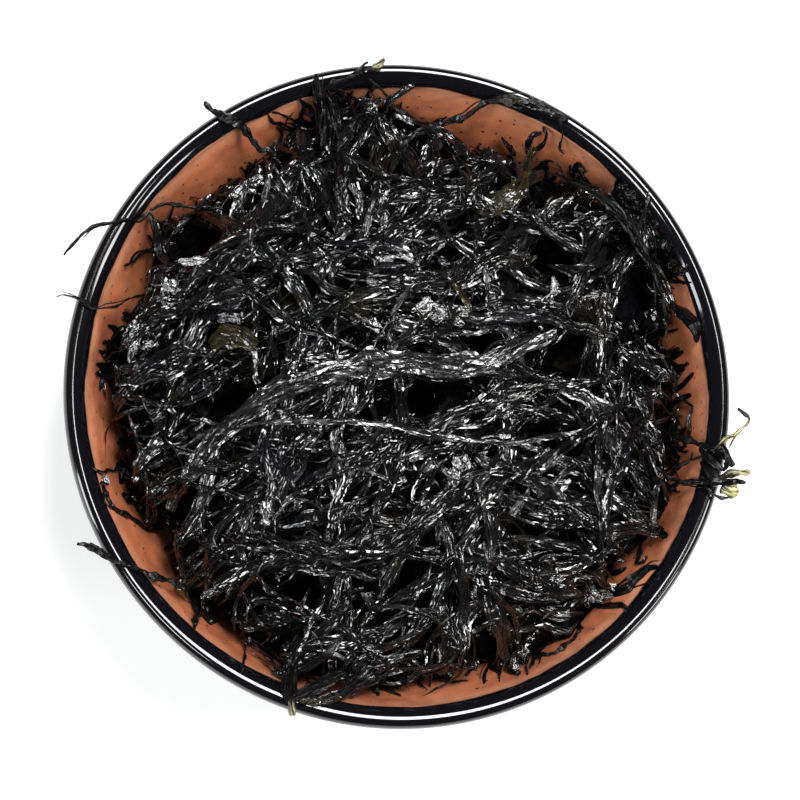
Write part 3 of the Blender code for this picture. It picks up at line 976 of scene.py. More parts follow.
FINE_ROPE = StrandStyle(
    columns=3, step=1.3, pleat=0.35, pleat_length=3.2, twist=70.0, twist_length=12.0, change=0.40,
    change_length=4.0, tip=0.25, jitter=0.03, rope=True, flatness=0.6)
KNOTTY = StrandStyle(
    columns=6, step=0.7, pleat=0.42, pleat_length=1.7, twist=70.0, twist_length=9.0, change=0.45,
    change_length=2.4, tip=0.55, jitter=0.05, rope=True, flatness=0.70)
PLEATED = StrandStyle(pitch=0.66, step=1.2, pleat=0.17, crumple=0.28, jitter=0.02)
CALM = StrandStyle(pitch=0.72, step=1.2, pleat=0.09, crumple=0.20, cup=0.22, twist=22.0, jitter=0.02)
CRUSHED = StrandStyle(
    pitch=0.9, step=0.8, pleat=0.28, pleat_length=2.4, crumple=0.45, jitter=0.08, ragged=0.3)
LONG_PLEATS = StrandStyle(
    pitch=0.8, step=0.9, pleat=0.20, pleat_length=3.5, twist=12.0, crumple=0.26, cup=0.2)
SHALLOW_PLEATS = StrandStyle(pitch=0.8, step=0.9, pleat=0.12, twist=12.0, crumple=0.20, cup=0.2)
PLAIN_RIBBON = StrandStyle(
    pitch=1.0, step=1.2, pleat=0.05, twist=8.0, crumple=0.05, crimp=0.25, cup=0.15, tip=0.6)


@dataclass(frozen=True)
class StrandKind:
    """One kind of strand and how it lies in the heap. Lengths are millimetres and angles degrees.

    A strand is a film, where it has a width, with the ropes that run in a bunch along it.
    """

    piece: str
    style: StrandStyle
    lengths: tuple[float, float]
    widths: tuple[float, float]
    thickness: float
    stiffness: float
    scatter: float
    bend: float
    waver: float
    lift: float
    overhang: float = 0.0
    ropes: tuple[int, int] = (0, 0)
    rope_widths: tuple[float, float] = (0.35, 0.95)
    spread: float = 0.5


UNDER_BLADE = StrandKind(
    "laver_under_layer", StrandStyle(pitch=1.3, step=1.4, pleat=0.5, jitter=0.2),
    lengths=(34.0, 76.0), widths=(5.0, 9.5), thickness=0.8, stiffness=7.0,
    scatter=50.0, bend=1.0, waver=22.0, lift=0.6, overhang=-2.0)
BLADE = StrandKind(
    "laver_blades", PLEATED, lengths=(30.0, 82.0), widths=(2.4, 5.8), thickness=0.9, stiffness=6.0,
    scatter=24.0, bend=0.9, waver=20.0, lift=2.4, ropes=(1, 4))
CALM_BLADE = StrandKind(
    "laver_blades", CALM, lengths=(24.0, 70.0), widths=(2.8, 6.2), thickness=0.9, stiffness=6.0,
    scatter=28.0, bend=0.9, waver=22.0, lift=2.4, ropes=(1, 4))
BUNCH = StrandKind(
    "laver_ropes", FINE_ROPE, lengths=(30.0, 88.0), widths=(0.0, 0.0), thickness=1.0, stiffness=5.0,
    scatter=26.0, bend=0.9, waver=24.0, lift=2.8, overhang=0.5, ropes=(5, 9), spread=1.8)
STRIP = StrandKind(
    "laver_strips",
    StrandStyle(pitch=0.66, step=1.2, pleat=0.20, twist=60.0, twist_length=16.0, change=0.40, jitter=0.02),
    lengths=(14.0, 46.0), widths=(1.2, 2.8), thickness=0.6, stiffness=4.0,
    scatter=36.0, bend=1.3, waver=30.0, lift=2.0, overhang=1.5)
SHRED = StrandKind(
    "laver_shreds", FINE_ROPE, lengths=(8.0, 28.0), widths=(0.35, 0.95), thickness=0.3, stiffness=2.5,
    scatter=60.0, bend=2.6, waver=40.0, lift=1.2, overhang=3.0)


@dataclass(frozen=True)
class Feature:
    """A strand that can be told apart.

    Its stops are (x, y, lift), where the lift is above the heap, or above the wall for one on the wall.
    Its pale values are spread evenly from one end to the other.
    """

    name: str
    width: float
    stops: tuple
    ropes: int = 0
    style: StrandStyle = PLEATED
    spread: float = 0.42
    pale: tuple = (0.0,)
    on_wall: bool = False


def tucked(name: str, width: float, *places: tuple[float, float], **details: object) -> Feature:
    """A strand that rises a little from the heap, with both ends tucked in between the others."""
    lifts = (-0.5, *[1.0] * (len(places) - 2), -0.5)
    return Feature(name, width, tuple((*place, lift) for place, lift in zip(places, lifts)), **details)


def strand(name: str, width: float, *stops: tuple[float, float, float], **details: object) -> Feature:
    """A strand with its own lift at each stop."""
    return Feature(name, width, stops, **details)


def knotty(name: str, width: float, *stops: tuple[float, float, float], **details: object) -> Feature:
    """A closed, knotty strand, as most of those that cross the wall or the lip are."""
    return Feature(name, width, stops, style=KNOTTY, **details)


@dataclass
class LaverHeap:
    """The heap: a crumpled core, layers of strands laid on it, scraps, and the strands that stand out.

    A strand that would reach past the heap's edge is cut off there, or else pressed back inside it.
    """

    form: HeapForm
    seed: int = 7
    core_sink: float = 6.5
    core_jitter: float = 0.34
    core_gap: float = 0.4
    wall_gap: float = 0.3
    edge_drop: float = 7.0
    tries: int = 4
    waver_length: float = 13.0
    end_scatter: tuple[float, float] = (-1.2, 1.8)
    cut_chance: float = 0.55
    lean_share: float = 0.55
    covered_share: float = 0.75
    film_ropes: tuple[float, float] = (0.5, 1.2)
    knotty_ropes: tuple[float, float] = (0.35, 0.8)
    bowl_clearance: float = 0.15
    pits: tuple = (
        (-61.7, 46.0, 6.4), (45.8, 42.5, 6.4), (-51.0, -3.7, 6.4), (50.0, 11.5, 6.8), (5.5, -2.4, 3.8),
        (-7.5, -2.2, 2.8), (-29.8, -59.3, 5.4), (73.0, 28.9, 6.4), (-56.0, 16.0, 3.0), (1.5, -54.0, 3.5),
        (24.0, 14.5, 4.0), (-66.0, -34.0, 4.0), (-27.0, 31.0, 3.0), (43.0, -14.0, 3.5), (28.0, -76.0, 3.0))
    pit_depth: float = 11.0

    def __post_init__(self) -> None:
        """Sets up the map that the strands are laid on."""
        self.rng = np.random.default_rng(self.seed)
        self.map = HeightMap()
        self.films: dict[str, Film] = {}
        cells = self.map
        radius = np.hypot(cells.x, cells.y)
        self.cad_height = self.form.dome(cells.x, cells.y, cells.rough(self.form.bump_size, 2.0))
        core = self.core_height(cells.x, cells.y)
        wall = self.form.bowl.top(radius)
        inside = radius < self.form.reach(cells.x, cells.y)
        cells.z = np.where(inside, np.maximum(core, wall + self.wall_gap), wall + self.wall_gap)

    def film(self, name: str) -> Film:
        """The piece of that name, started if it isn't there yet."""
        return self.films.setdefault(name, Film(name))

    def rest_height(self, x: np.ndarray, y: np.ndarray) -> np.ndarray:
        """Height the CAD model's strands lie at: on the heap, or on a line from its edge to the lip."""
        radius = np.maximum(1e-6, np.hypot(x, y))
        near = 0.94 * self.form.edge(x, y)
        scale = np.minimum(1.0, near / radius)
        start = self.map.sample(self.cad_height, x * scale, y * scale)
        share = np.clip((radius - near) / (self.form.bowl.crest_radius - near), 0.0, 1.0)
        return start + (self.form.bowl.height - start) * share

    def core_height(self, x: np.ndarray, y: np.ndarray) -> np.ndarray:
        """Height of the dark core that the strands are laid on, with its pits and its rounded edge."""
        height = self.map.sample(self.cad_height, x, y)
        inside = np.clip(1 - np.hypot(x, y) / self.form.reach(x, y), 0.0, 1.0)
        height = height - self.core_sink * np.minimum(1.0, 0.35 + 3.0 * inside)
        height = height - self.edge_drop * np.maximum(0.0, 1 - 9.0 * inside) ** 2
        for pit_x, pit_y, size in self.pits:
            near = np.exp(-((x - pit_x) ** 2 + (y - pit_y) ** 2) / (1.15 * size) ** 2)
            height = height - self.pit_depth * near
        return height

    def build_core(self, rings: int = 110, segments: int = 280) -> bpy.types.Object:
        """Makes the core as one closed, crumpled body that fills the bowl below the strands.

        Args:
            rings: how many rings its upper side has.
            segments: how many points a ring has.

        Returns:
            The core's object.
        """
        turns = math.tau * np.arange(segments) / segments
        edge = self.form.reach(np.cos(turns), np.sin(turns)) - 0.8
        rows = []
        for share in np.linspace(0.012, 1.0, rings) ** 0.75:
            x, y = share * edge * np.cos(turns), share * edge * np.sin(turns)
            height = np.maximum(self.core_height(x, y), self.form.bowl.top(share * edge) + self.core_gap)
            rows.append(np.column_stack([x, y, height]))
        upper = np.stack(rows)
        upper[:-1] += self.rng.normal(0.0, self.core_jitter, upper[:-1].shape) * (1.0, 1.0, 1.5)
        lower = []
        for share in np.linspace(0.97, 0.03, 14):
            x, y = share * edge * np.cos(turns), share * edge * np.sin(turns)
            lower.append(np.column_stack([x, y, self.form.bowl.top(share * edge) + self.wall_gap]))
        film = Film("laver_core")
        film.add_grid(np.concatenate([upper, np.stack(lower)]), rope=True)
        # The core wears the darker film, with shade painted into its colour.
        made = film.build(CORE_SHADED_FINISH.material(), smooth=False)
        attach(made, "root")
        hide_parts("laver")
        return made

    def path(self, x: float, y: float, length: float, kind: StrandKind) -> np.ndarray:
        """A gently curved flat line through a place, more or less the way the strands lie there.

        Args:
            x, y: the middle of it.
            length: how long it is.
            kind: what it is a path for.

        Returns:
            Its (x, y) points.
        """
        step = kind.style.step
        arc = np.arange(0.0, length + step, step)
        heading = self.form.direction(x, y) + math.radians(self.rng.normal(0.0, kind.scatter))
        heading = heading + math.radians(self.rng.normal(0.0, kind.bend)) * (arc - length / 2)
        heading = heading + math.radians(kind.waver) * wander(arc, self.waver_length, self.rng)
        line = step * np.cumsum(np.column_stack([np.cos(heading), np.sin(heading)]), axis=0)
        line += np.array([x, y]) - line[len(line) // 2]
        limit = self.form.reach(line[:, 0], line[:, 1]) + kind.overhang + self.rng.normal(*self.end_scatter)
        share = limit / np.maximum(1e-6, np.hypot(line[:, 0], line[:, 1]))
        if self.rng.random() < self.cut_chance:
            middle = len(line) // 2
            outside = np.flatnonzero(share < 1.0)
            first = max((i + 1 for i in outside if i < middle), default=0)
            last = min((i for i in outside if i > middle), default=len(line))
            line, share = line[first:last], share[first:last]
        return line * np.minimum(1.0, share)[:, None]

    def over_pit(self, line: np.ndarray) -> bool:
        """True where a line crosses one of the dark pits."""
        return any(
            (np.hypot(line[:, 0] - x, line[:, 1] - y) < size).any() for x, y, size in self.pits)

    def add_ropes(self, film: Film, route: np.ndarray, count: int, spread: float,
                  widths: tuple[float, float], style: StrandStyle, pale: float = 0.0) -> None:
        """Adds fine ropes that run along a route in a loose bunch, crossing over each other.

        Args:
            film: the piece that they belong to.
            route: the bunch's middle line, one point a row.
            count: how many there are.
            spread: how far they lie from the middle.
            widths: their narrowest and widest.
            style: how they are folded.
            pale: how pale they are.
        """
        arc = arc_length(route)
        side = side_of(route)
        narrow = 0.35 + 0.65 * np.abs(wander(arc, 26.0, self.rng))
        for index in range(count):
            turn = math.tau * index / count + arc / self.rng.uniform(9.0, 18.0)
            offset = spread * narrow * (np.sin(turn) + 0.7 * wander(arc, 9.0, self.rng))
            own = route + side * offset[:, None]
            own[:, 2] += 0.3 + 0.45 * spread * (np.cos(turn) + 0.7 * wander(arc, 8.0, self.rng))
            first = int(self.rng.uniform(0.0, 0.22) * len(own))
            last = len(own) - int(self.rng.uniform(0.0, 0.22) * len(own))
            if last - first > 4:
                grid = style.skin(own[first:last], self.rng.uniform(*widths), self.rng)
                film.add_grid(self.clear_of_bowl(grid), style.rope, pale)

    def lay_strands(self, kind: StrandKind, count: int) -> None:
        """Lays strands of one kind, spread evenly over the heap.

        Args:
            kind: what is laid.
            count: how many.
        """
        start = self.rng.uniform(0, math.tau)
        for index in range(count):
            turn = start + GOLDEN_ANGLE * index
            radius = float(self.form.reach(math.cos(turn), math.sin(turn)))
            radius *= (0.99 + 0.01 * kind.overhang) * math.sqrt((index + 0.5) / count)
            width = self.rng.uniform(*kind.widths)
            for _ in range(self.tries):
                length = self.rng.uniform(*kind.lengths)
                line = self.path(radius * math.cos(turn), radius * math.sin(turn), length, kind)
                if len(line) > 5 and not self.over_pit(line):
                    break
            else:
                continue
            ropes = int(self.rng.integers(kind.ropes[0], kind.ropes[1] + 1))
            breadth = width or 2 * kind.spread
            height, tilt = self.map.rest(line, breadth, kind.stiffness)
            share = np.linspace(0.0, 1.0, len(line))
            rise = np.sin(math.pi * share) ** 0.6 * (0.35 + 0.65 * wander(share * length, 16.0, self.rng))
            route = np.column_stack([line, height + 0.3 + rise * kind.lift])
            if width:
                grid = kind.style.skin(route, width, self.rng, self.lean_share * tilt)
                self.film(kind.piece).add_grid(self.clear_of_bowl(grid), kind.style.rope)
            if ropes:
                spread = kind.spread * (width or 1.0) * self.rng.uniform(0.7, 1.3)
                self.add_ropes(self.film(BUNCH.piece), route, ropes, spread, kind.rope_widths, FINE_ROPE)
            self.map.cover(route, self.covered_share * breadth, kind.thickness)

    def lay_scraps(self, name: str, places: np.ndarray | tuple, cells: int, lean: float = 30.0,
                   crease: float = 0.5) -> None:
        """Lays crumpled scraps of film.

        Args:
            name: the piece that they belong to.
            places: their (x, y, radius).
            cells: how many facets a scrap has each way.
            lean: how far they lean, in degrees.
            crease: how deep their folds are, as a share of a facet.
        """
        round_u, round_v = facet_disc(cells)
        shape = round_u.shape
        bearing = np.arctan2(round_v, round_u)
        sign = np.where(np.arange(cells + 1) % 2, 1.0, -1.0)[None, :]
        film = self.film(name)
        for x, y, size in places:
            turn = self.form.direction(x, y) + self.rng.normal(0.0, 0.6)
            stretch = self.rng.uniform(1.2, 2.4)
            lobes = sum(np.sin(count * bearing + self.rng.uniform(0.0, math.tau)) for count in (2, 3, 5))
            ragged = 1 + 0.13 * lobes + self.rng.normal(0.0, 0.04, shape)
            across = round_v * size * ragged / math.sqrt(stretch)
            along = round_u * size * ragged * math.sqrt(stretch)
            fold = sign * self.rng.uniform(0.2, 1.0, shape) + self.rng.normal(0.0, 0.5, shape)
            fold = size * (crease / cells * fold - 0.2 * crease * (round_v ** 2 + round_u ** 2))
            lean_a, lean_b = np.radians(self.rng.normal(0.0, lean * 0.6, 2))
            local = np.stack([along, across, fold], axis=-1).reshape(-1, 3)
            leaning = Matrix.Rotation(lean_a, 3, "X") @ Matrix.Rotation(lean_b, 3, "Y")
            spin = Matrix.Rotation(turn, 3, "Z") @ leaning
            height = float(self.map.read(np.array([x]), np.array([y]))[0]) + 0.3 * size
            points = local @ np.array(spin).T + (x, y, height)
            film.add_grid(self.clear_of_bowl(points.reshape(shape + (3,))), rope=False)
            self.map.raise_to(points[:, 0], points[:, 1], points[:, 2])

    def scattered(self, count: int, sizes: tuple[float, float]) -> np.ndarray:
        """Places (x, y, radius) spread evenly over the heap, clear of its pits."""
        turns = self.rng.uniform(0, math.tau) + GOLDEN_ANGLE * np.arange(count)
        edge = self.form.reach(np.cos(turns), np.sin(turns)) + 1.0
        radii = edge * np.sqrt((np.arange(count) + 0.5) / count)
        places = np.column_stack([
            radii * np.cos(turns), radii * np.sin(turns), self.rng.uniform(*sizes, count)])
        return np.array([place for place in places if not self.over_pit(place[None, :2])])

    def lay_features(self, features: tuple, name: str) -> None:
        """Lays the strands that can be told apart, on their own routes.

        Args:
            features: what is laid.
            name: the piece that they belong to.
        """
        film = self.film(name)
        for feature in features:
            LOG.debug("%s: %s", name, feature.name)
            stops = np.array(feature.stops, float)
            if feature.on_wall:
                stops[:, 2] += self.form.bowl.top(np.hypot(stops[:, 0], stops[:, 1])) + 0.5 * feature.width
            else:
                stops[:, 2] += self.rest_height(stops[:, 0], stops[:, 1])
            route = smooth_line(stops, feature.style.step)
            share = np.linspace(0.0, 1.0, len(route))
            if not feature.on_wall:
                pile = self.map.read(route[:, 0], route[:, 1])
                inside = np.hypot(route[:, 0], route[:, 1]) < self.form.reach(route[:, 0], route[:, 1])
                held = np.where(inside & (share > 0.06), pile + 0.5, -np.inf)
                route[:, 2] += soften(np.maximum(route[:, 2], held) - route[:, 2], 6)
            grid = feature.style.skin(route, feature.width, self.rng)
            pale = np.interp(share, np.linspace(0, 1, len(feature.pale)), feature.pale)
            film.add_grid(self.clear_of_bowl(grid), feature.style.rope, pale)
            rope_style = KNOTTY if feature.style.rope else FINE_ROPE
            widths = self.knotty_ropes if feature.style.rope else self.film_ropes
            spread = feature.spread * feature.width + 0.3
            self.add_ropes(film, route, feature.ropes, spread, widths, rope_style)
            self.map.cover(route, 0.8 * feature.width, 0.5)

    def clear_of_bowl(self, grid: np.ndarray) -> np.ndarray:
        """Lifts each section of a strand, as one, off the wall and the lip."""
        radius = np.hypot(grid[..., 0], grid[..., 1])
        near = np.clip(radius, 0.0, self.form.bowl.lip_radius - 0.05)
        short = self.form.bowl.top(near) + self.bowl_clearance - grid[..., 2]
        short = np.where(radius < self.form.bowl.lip_radius, short, 0.0)
        lift = np.maximum(0.0, short.max(axis=1))
        raised = grid.copy()
        raised[..., 2] += lift[:, None]
        return raised

    def lay_on_wall(self, places: np.ndarray | tuple, cells: int, name: str) -> None:
        """Lays chips and crumpled scraps flat on the bare wall.

        Args:
            places: their (x, y, radius).
            cells: how many facets a chip has each way.
            name: the piece that they belong to.
        """
        round_u, round_v = facet_disc(cells)
        film = self.film(name)
        bowl = self.form.bowl
        for x, y, size in places:
            radius = math.hypot(x, y)
            low, high = bowl.top(np.array([radius - 0.5, radius + 0.5]))
            out = np.array([x / radius, y / radius, 0.0])
            up = unit(out + UP * (high - low))
            side = np.cross(UP, out)
            normal = np.cross(side, up)
            turn = self.rng.uniform(0.0, math.pi)
            ragged = size * (1 + self.rng.normal(0.0, 0.22, round_u.shape))
            stretch = self.rng.uniform(1.0, 1.8)
            along, across = round_u * ragged * stretch, round_v * ragged / stretch
            a = along * math.cos(turn) - across * math.sin(turn)
            b = along * math.sin(turn) + across * math.cos(turn)
            lift = 0.12 + size * (0.25 + self.rng.uniform(0.0, 0.5, round_u.shape))
            middle = np.array([x, y, float(bowl.top(np.array([radius]))[0])])
            flat = middle + a[..., None] * side + 1.5 * b[..., None] * up
            film.add_grid(flat + lift[..., None] * normal, rope=False)

    def fringe(self, start: float, end: float, count: int, rise: tuple[float, float]) -> tuple:
        """Makes short strands that hang from the heap's edge onto the bare wall.

        Args:
            start, end: the azimuths between which they lie, in degrees.
            count: how many.
            rise: how near the glaze they come at least and at most, as a share of the wall.

        Returns:
            The strands, as features on the wall.
        """
        made = []
        for index in range(count):
            turn = math.radians(self.rng.uniform(start, end))
            reach = float(self.form.reach(np.cos(turn), np.sin(turn)))
            share = np.linspace(0.0, 1.0, 5)
            top = reach + (self.form.bowl.inner_radius + 0.5 - reach) * self.rng.uniform(*rise)
            radius = reach - 5 + (top - reach + 5) * share
            bearing = turn + math.radians(self.rng.normal(0.0, 5.0)) * share
            bearing = bearing + np.radians(self.rng.normal(0.0, 0.9, 5))
            lift = 5.0 * (1 - share) ** 2 + self.rng.uniform(0.0, 1.2)
            stops = np.column_stack([radius * np.cos(bearing), radius * np.sin(bearing), lift])
            made.append(Feature(
                f"fringe_{index}", self.rng.uniform(0.8, 1.4 + 1.4 * rise[1]), tuple(map(tuple, stops)),
                ropes=int(self.rng.integers(0, 3)), style=KNOTTY if index % 3 else PLEATED, on_wall=True))
        return tuple(made)

    def crumbs(self, count: int) -> np.ndarray:
        """Places (x, y, radius) of crumbs on the bare clay, more of them near the heap."""
        turns = self.rng.uniform(0, math.tau, count)
        edge = self.form.reach(np.cos(turns), np.sin(turns))
        radii = edge + (self.form.bowl.inner_radius - 0.4 - edge) * self.rng.uniform(0.0, 1.0, count) ** 1.2
        sizes = 0.16 + 0.42 * self.rng.uniform(0.0, 1.0, count) ** 2.5
        return np.column_stack([radii * np.cos(turns), radii * np.sin(turns), sizes])

    def build(self) -> None:
        """Builds the whole heap, layer by layer, and dresses its pieces."""
        self.build_core()
        self.lay_strands(UNDER_BLADE, 130)
        self.lay_scraps("laver_scraps", self.scattered(160, (1.8, 3.2)), 6)
        self.lay_strands(BLADE, 46)
        self.lay_strands(BUNCH, 34)
        self.lay_strands(STRIP, 110)
        self.lay_strands(SHRED, 120)
        self.lay_strands(CALM_BLADE, 50)
        self.lay_strands(BUNCH, 32)
        self.lay_scraps("laver_scraps", self.scattered(170, (1.0, 2.4)), 5)
        self.lay_strands(STRIP, 90)
        self.lay_features(HEAP_FEATURES, "laver_long_strands")
        self.lay_features(OLIVE_FEATURES, "laver_olive_film")
        self.lay_scraps("laver_foil", FOIL_PATCHES, 8, lean=7.0, crease=0.3)
        self.lay_strands(SHRED, 170)
        self.lay_scraps("laver_scraps", self.scattered(260, (0.6, 1.4)), 4)
        self.lay_features(BRIGHT_FEATURES, "laver_bright_blade")
        self.lay_features(TOP_FEATURES, "laver_long_strands")
        self.lay_features(LIP_FEATURES, "laver_lip_strands")
        self.lay_features(WALL_FEATURES, "laver_lip_strands")
        self.lay_features(BRIGHT_LIP_FEATURES, "laver_bright_blade")
        self.lay_features(BRIGHT_WALL_FEATURES, "laver_bright_blade")
        self.lay_scraps("laver_foil", WALL_FOIL, 7, lean=8.0, crease=0.3)
        for start, end, count, rise in FRINGES:
            self.lay_features(self.fringe(start, end, count, rise), "laver_fringe")
        self.lay_features(PALE_FEATURES, "laver_pale_tips")
        self.lay_on_wall(self.crumbs(330), 2, "laver_crumbs")
        self.lay_on_wall(WALL_SCRAPS, 5, "laver_crumbs")
        self.lay_scraps("laver_foil", TOP_FOIL, 9, lean=8.0, crease=0.55)
        for name, film in self.films.items():
            made = film.build(FINISHES[name].material(), smooth=name in SMOOTH_PIECES)
            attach(made, "root")


# ---------------------------------------------------------------- the heap's finishes

# The core and the under layer are darker, duller copies of the film: painted shade in their colour, so the
# heap's depths and the gaps between strands read black.
CORE_SHADED_FINISH = LaverFilm("laver_core_shaded_film", black=(0.0006, 0.0006, 0.0007), roughness=(0.5, 0.75), ior=1.08)
FINISHES = {
    "laver_under_layer": LaverFilm(
        "laver_under_shaded_film", black=(0.0008, 0.0008, 0.0009), roughness=(0.30, 0.55), ior=1.07),
    "laver_blades": LaverFilm("laver_blade_film"),
    "laver_ropes": LaverFilm("laver_rope_film", roughness=(0.08, 0.28)),
    "laver_strips": LaverFilm("laver_strip_film", roughness=(0.07, 0.28)),
    "laver_shreds": LaverFilm("laver_shred_film", roughness=(0.14, 0.36), ior=1.53),
    "laver_scraps": LaverFilm("laver_scrap_film", roughness=(0.06, 0.26), ior=1.56),
    "laver_foil": LaverFilm(
        "laver_foil_film", roughness=(0.08, 0.24), ior=1.9, streak=(2.6, 0.7), streak_depth=0.00022,
        crease=(2.4, 1.4), crease_depth=0.0005),
    "laver_long_strands": LaverFilm("laver_long_film", roughness=(0.08, 0.30), ior=1.74),
    "laver_olive_film": LaverFilm(
        "laver_olive_film", black=(0.020, 0.016, 0.0055), olive=(0.066, 0.053, 0.021),
        violet=(0.006, 0.005, 0.003), ior=1.62, tint_scale=240.0),
    "laver_lip_strands": LaverFilm("laver_lip_film", roughness=(0.20, 0.46), ior=1.38),
    "laver_fringe": LaverFilm("laver_fringe_film", roughness=(0.14, 0.38), ior=1.36),
    "laver_bright_blade": LaverFilm("laver_bright_film", roughness=(0.14, 0.32), ior=2.2),
    "laver_crumbs": LaverFilm("laver_crumb_film", roughness=(0.35, 0.6), ior=1.45),
    "laver_pale_tips": PaleStem("laver_pale_stem"),
}
SMOOTH_PIECES = ("laver_foil", "laver_pale_tips")


# ---------------------------------------------------------------- the strands that can be told apart

# Strands on the heap that can be told apart in the photograph.
HEAP_FEATURES = (
    tucked("river_a", 2, (-31, 74), (-30, 69), (-27, 61), (-26, 55), ropes=3),
    tucked("river_b", 5, (-20, 74), (-23, 67), (-22, 60), (-21, 54), (-19, 47), ropes=4),
    tucked("river_c", 2.5, (-17, 73), (-19, 65), (-19, 57), (-15, 50), ropes=2),
    tucked("diagonal_top", 2.6, (-21, 76), (-16, 72), (-7, 66), (-2, 64), (4, 64), ropes=1),
    strand(
        "top_pleat", 3.2, (-6, 89, 2), (-10, 85, 2), (-14, 82, 1), (-17, 77, 1), (-19, 74, -0.5), ropes=1),
    tucked("left_curl", 2.6, (-75, 53), (-73, 48), (-72, 42), (-70, 37), ropes=2),
    tucked("left_loop", 3.2, (-73, 32), (-71, 27), (-67, 26), (-63, 30), (-56, 38), ropes=1),
    tucked("left_post", 1.2, (-65, 29), (-65, 22), (-66, 12), ropes=1),
    tucked("left_diagonal", 2.2, (-55, 34), (-48, 29), (-36, 21), (-30, 17), (-22, 15), (-9, 10), ropes=2),
    tucked("upper_dashes", 1.8, (-50, 38), (-42, 37), (-34, 39), (-30, 42), ropes=2),
    tucked("upper_line", 2, (-43, 52), (-34, 49), (-26, 45), (-19, 43), (-9, 44), (-2, 48), ropes=2),
    tucked("upper_fold", 3, (-29, 36), (-23, 30), (-17, 27), (-10, 26), (-2, 28), ropes=1),
    tucked("short_post", 1.2, (-30, 26), (-31, 17), (-32, 7), ropes=1),
    tucked("eye_top", 3.6, (-15, 36), (-12, 40), (-6, 42), (0, 41), (6, 38), ropes=2),
    tucked("eye_under", 2.4, (-13, 35), (-6, 36), (2, 36), (9, 39), ropes=1),
    tucked("foil_ridge", 1.8, (-4, 11), (5, 15), (14, 17), (23, 17), (31, 21), ropes=1),
    tucked("foil_tail", 4.2, (14, 22), (23, 21), (33, 22), (43, 22), (55, 19), (65, 17), ropes=2),
    tucked("dark_bridge", 3, (19, 24), (29, 27), (39, 27), (48, 25), (57, 24), ropes=2),
    tucked("bright_post", 2.4, (12, 60), (12, 54), (13, 47), (18, 42), (22, 38), ropes=2),
    tucked("upper_right_fan", 4, (40, 57), (44, 51), (50, 46), (57, 43), ropes=3),
    tucked("upper_right_fold", 3, (44, 39), (51, 37), (59, 40), (62, 45), ropes=2),
    tucked("middle_right", 3, (25, 39), (32, 37), (39, 32), (45, 30), (52, 31), ropes=2),
    tucked("right_line", 2.6, (29, 8), (38, 5), (47, 3), (57, 3), (68, 4), ropes=1),
    tucked("right_arc", 4, (46, 2), (56, -2), (63, -6), (69, -11), (73, -19), ropes=4),
    tucked("center_fan", 4.6, (6, -14), (13, -9), (21, -5), (31, -2), (41, 2), (49, 3), ropes=4),
    tucked("center_fan_b", 2.4, (12, -12), (23, -10), (32, -5), (40, -1), ropes=2),
    tucked("middle_fan", 4.6, (14, -43), (21, -36), (28, -28), (35, -23), (44, -18), ropes=4),
    tucked("lower_fan", 4.6, (19, -47), (27, -50), (36, -54), (46, -58), (56, -60), ropes=4),
    tucked("lower_fan_b", 3, (21, -54), (30, -58), (39, -61), (49, -61), ropes=3),
    tucked("lower_eye", 3, (29, -45), (37, -44), (46, -45), (57, -46), ropes=2),
    strand(
        "bottom_ridges", 4.8, (-25, -91.4, 2), (-19, -90.4, 1.6), (-14, -87, 1.4), (-8, -83, 1),
        (-1, -79, 1), (7, -77, -0.5), ropes=4),
    tucked("bottom_ridge_b", 1.6, (-15, -90), (-8, -86), (-2, -83), (15, -81), ropes=2),
    tucked("bottom_pleat", 3, (-28, -78), (-25, -73), (-21, -69), (-17, -64), (-14, -61), ropes=1),
    tucked("bottom_short", 2.6, (-12, -60), (-9, -63), (-7, -67), ropes=1),
    tucked("lower_left_dash", 2.4, (-34, -43), (-28, -44), (-21, -46), (-13, -48), ropes=1),
    tucked("lower_left_dash_b", 2.6, (-41, -54), (-32, -53), (-23, -54), (-15, -54), (-8, -56), ropes=2),
    tucked("lower_left_slant", 2, (-45, -54), (-41, -57), (-36, -61), ropes=1),
    tucked("thin_lines", 1.2, (-27, -59), (-30, -66), (-34, -72), ropes=2),
    tucked("right_post", 2.6, (58, -28), (60, -32), (61, -40), ropes=1),
    tucked("lower_grey_fan", 3.6, (53, -54), (51, -57), (50, -62), ropes=2),
    tucked("left_slant", 1.6, (-60, 4), (-58, 1), (-56, -4), ropes=1),
    tucked("left_star_a", 1, (-80, -21), (-71, -17), (-61, -19), ropes=1),
    tucked("left_star_b", 1, (-74, -10), (-68, -17), (-63, -25), ropes=1),
    tucked("right_fall", 2.2, (68, 41), (66, 33), (64, 25), (62, 17), ropes=3),
    tucked("edge_fan", 3, (70, 3), (74, -3), (77, -10), ropes=3),
)
# A long rope that lies over the others.
TOP_FEATURES = (
    tucked(
        "bottom_rope", 3, (10, -37), (13, -44), (15, -51), (17, -56), (19, -62), (18, -69), (19, -74),
        (18, -80), ropes=5),
)
# The long shiny blade across the middle and the thin strand below it.
BRIGHT_FEATURES = (
    strand(
        "long_blade", 7, (-68, -36, -1), (-62, -24, 3), (-53, -13, 4), (-36, -1, 4), (-19, 5, 4),
        (-1, 7, 4), (19, 6, 4), (30, 11, 3), (41, 17, -1), ropes=6, spread=0.46, style=LONG_PLEATS),
    strand(
        "thin_strand", 1.7, (-57, -18, 0), (-46, -12, 5), (-31, -11, 7), (-8, -12, 6), (19, -16, 6),
        (34, -16, 5), (57, -11, -1), ropes=1, spread=0.3, style=PLAIN_RIBBON),
    strand(
        "blade_end", 3.2, (26, 6, 1), (33, 10, 3), (40, 15, 4), (45, 18, 4), ropes=2, spread=0.6,
        style=SHALLOW_PLEATS),
)
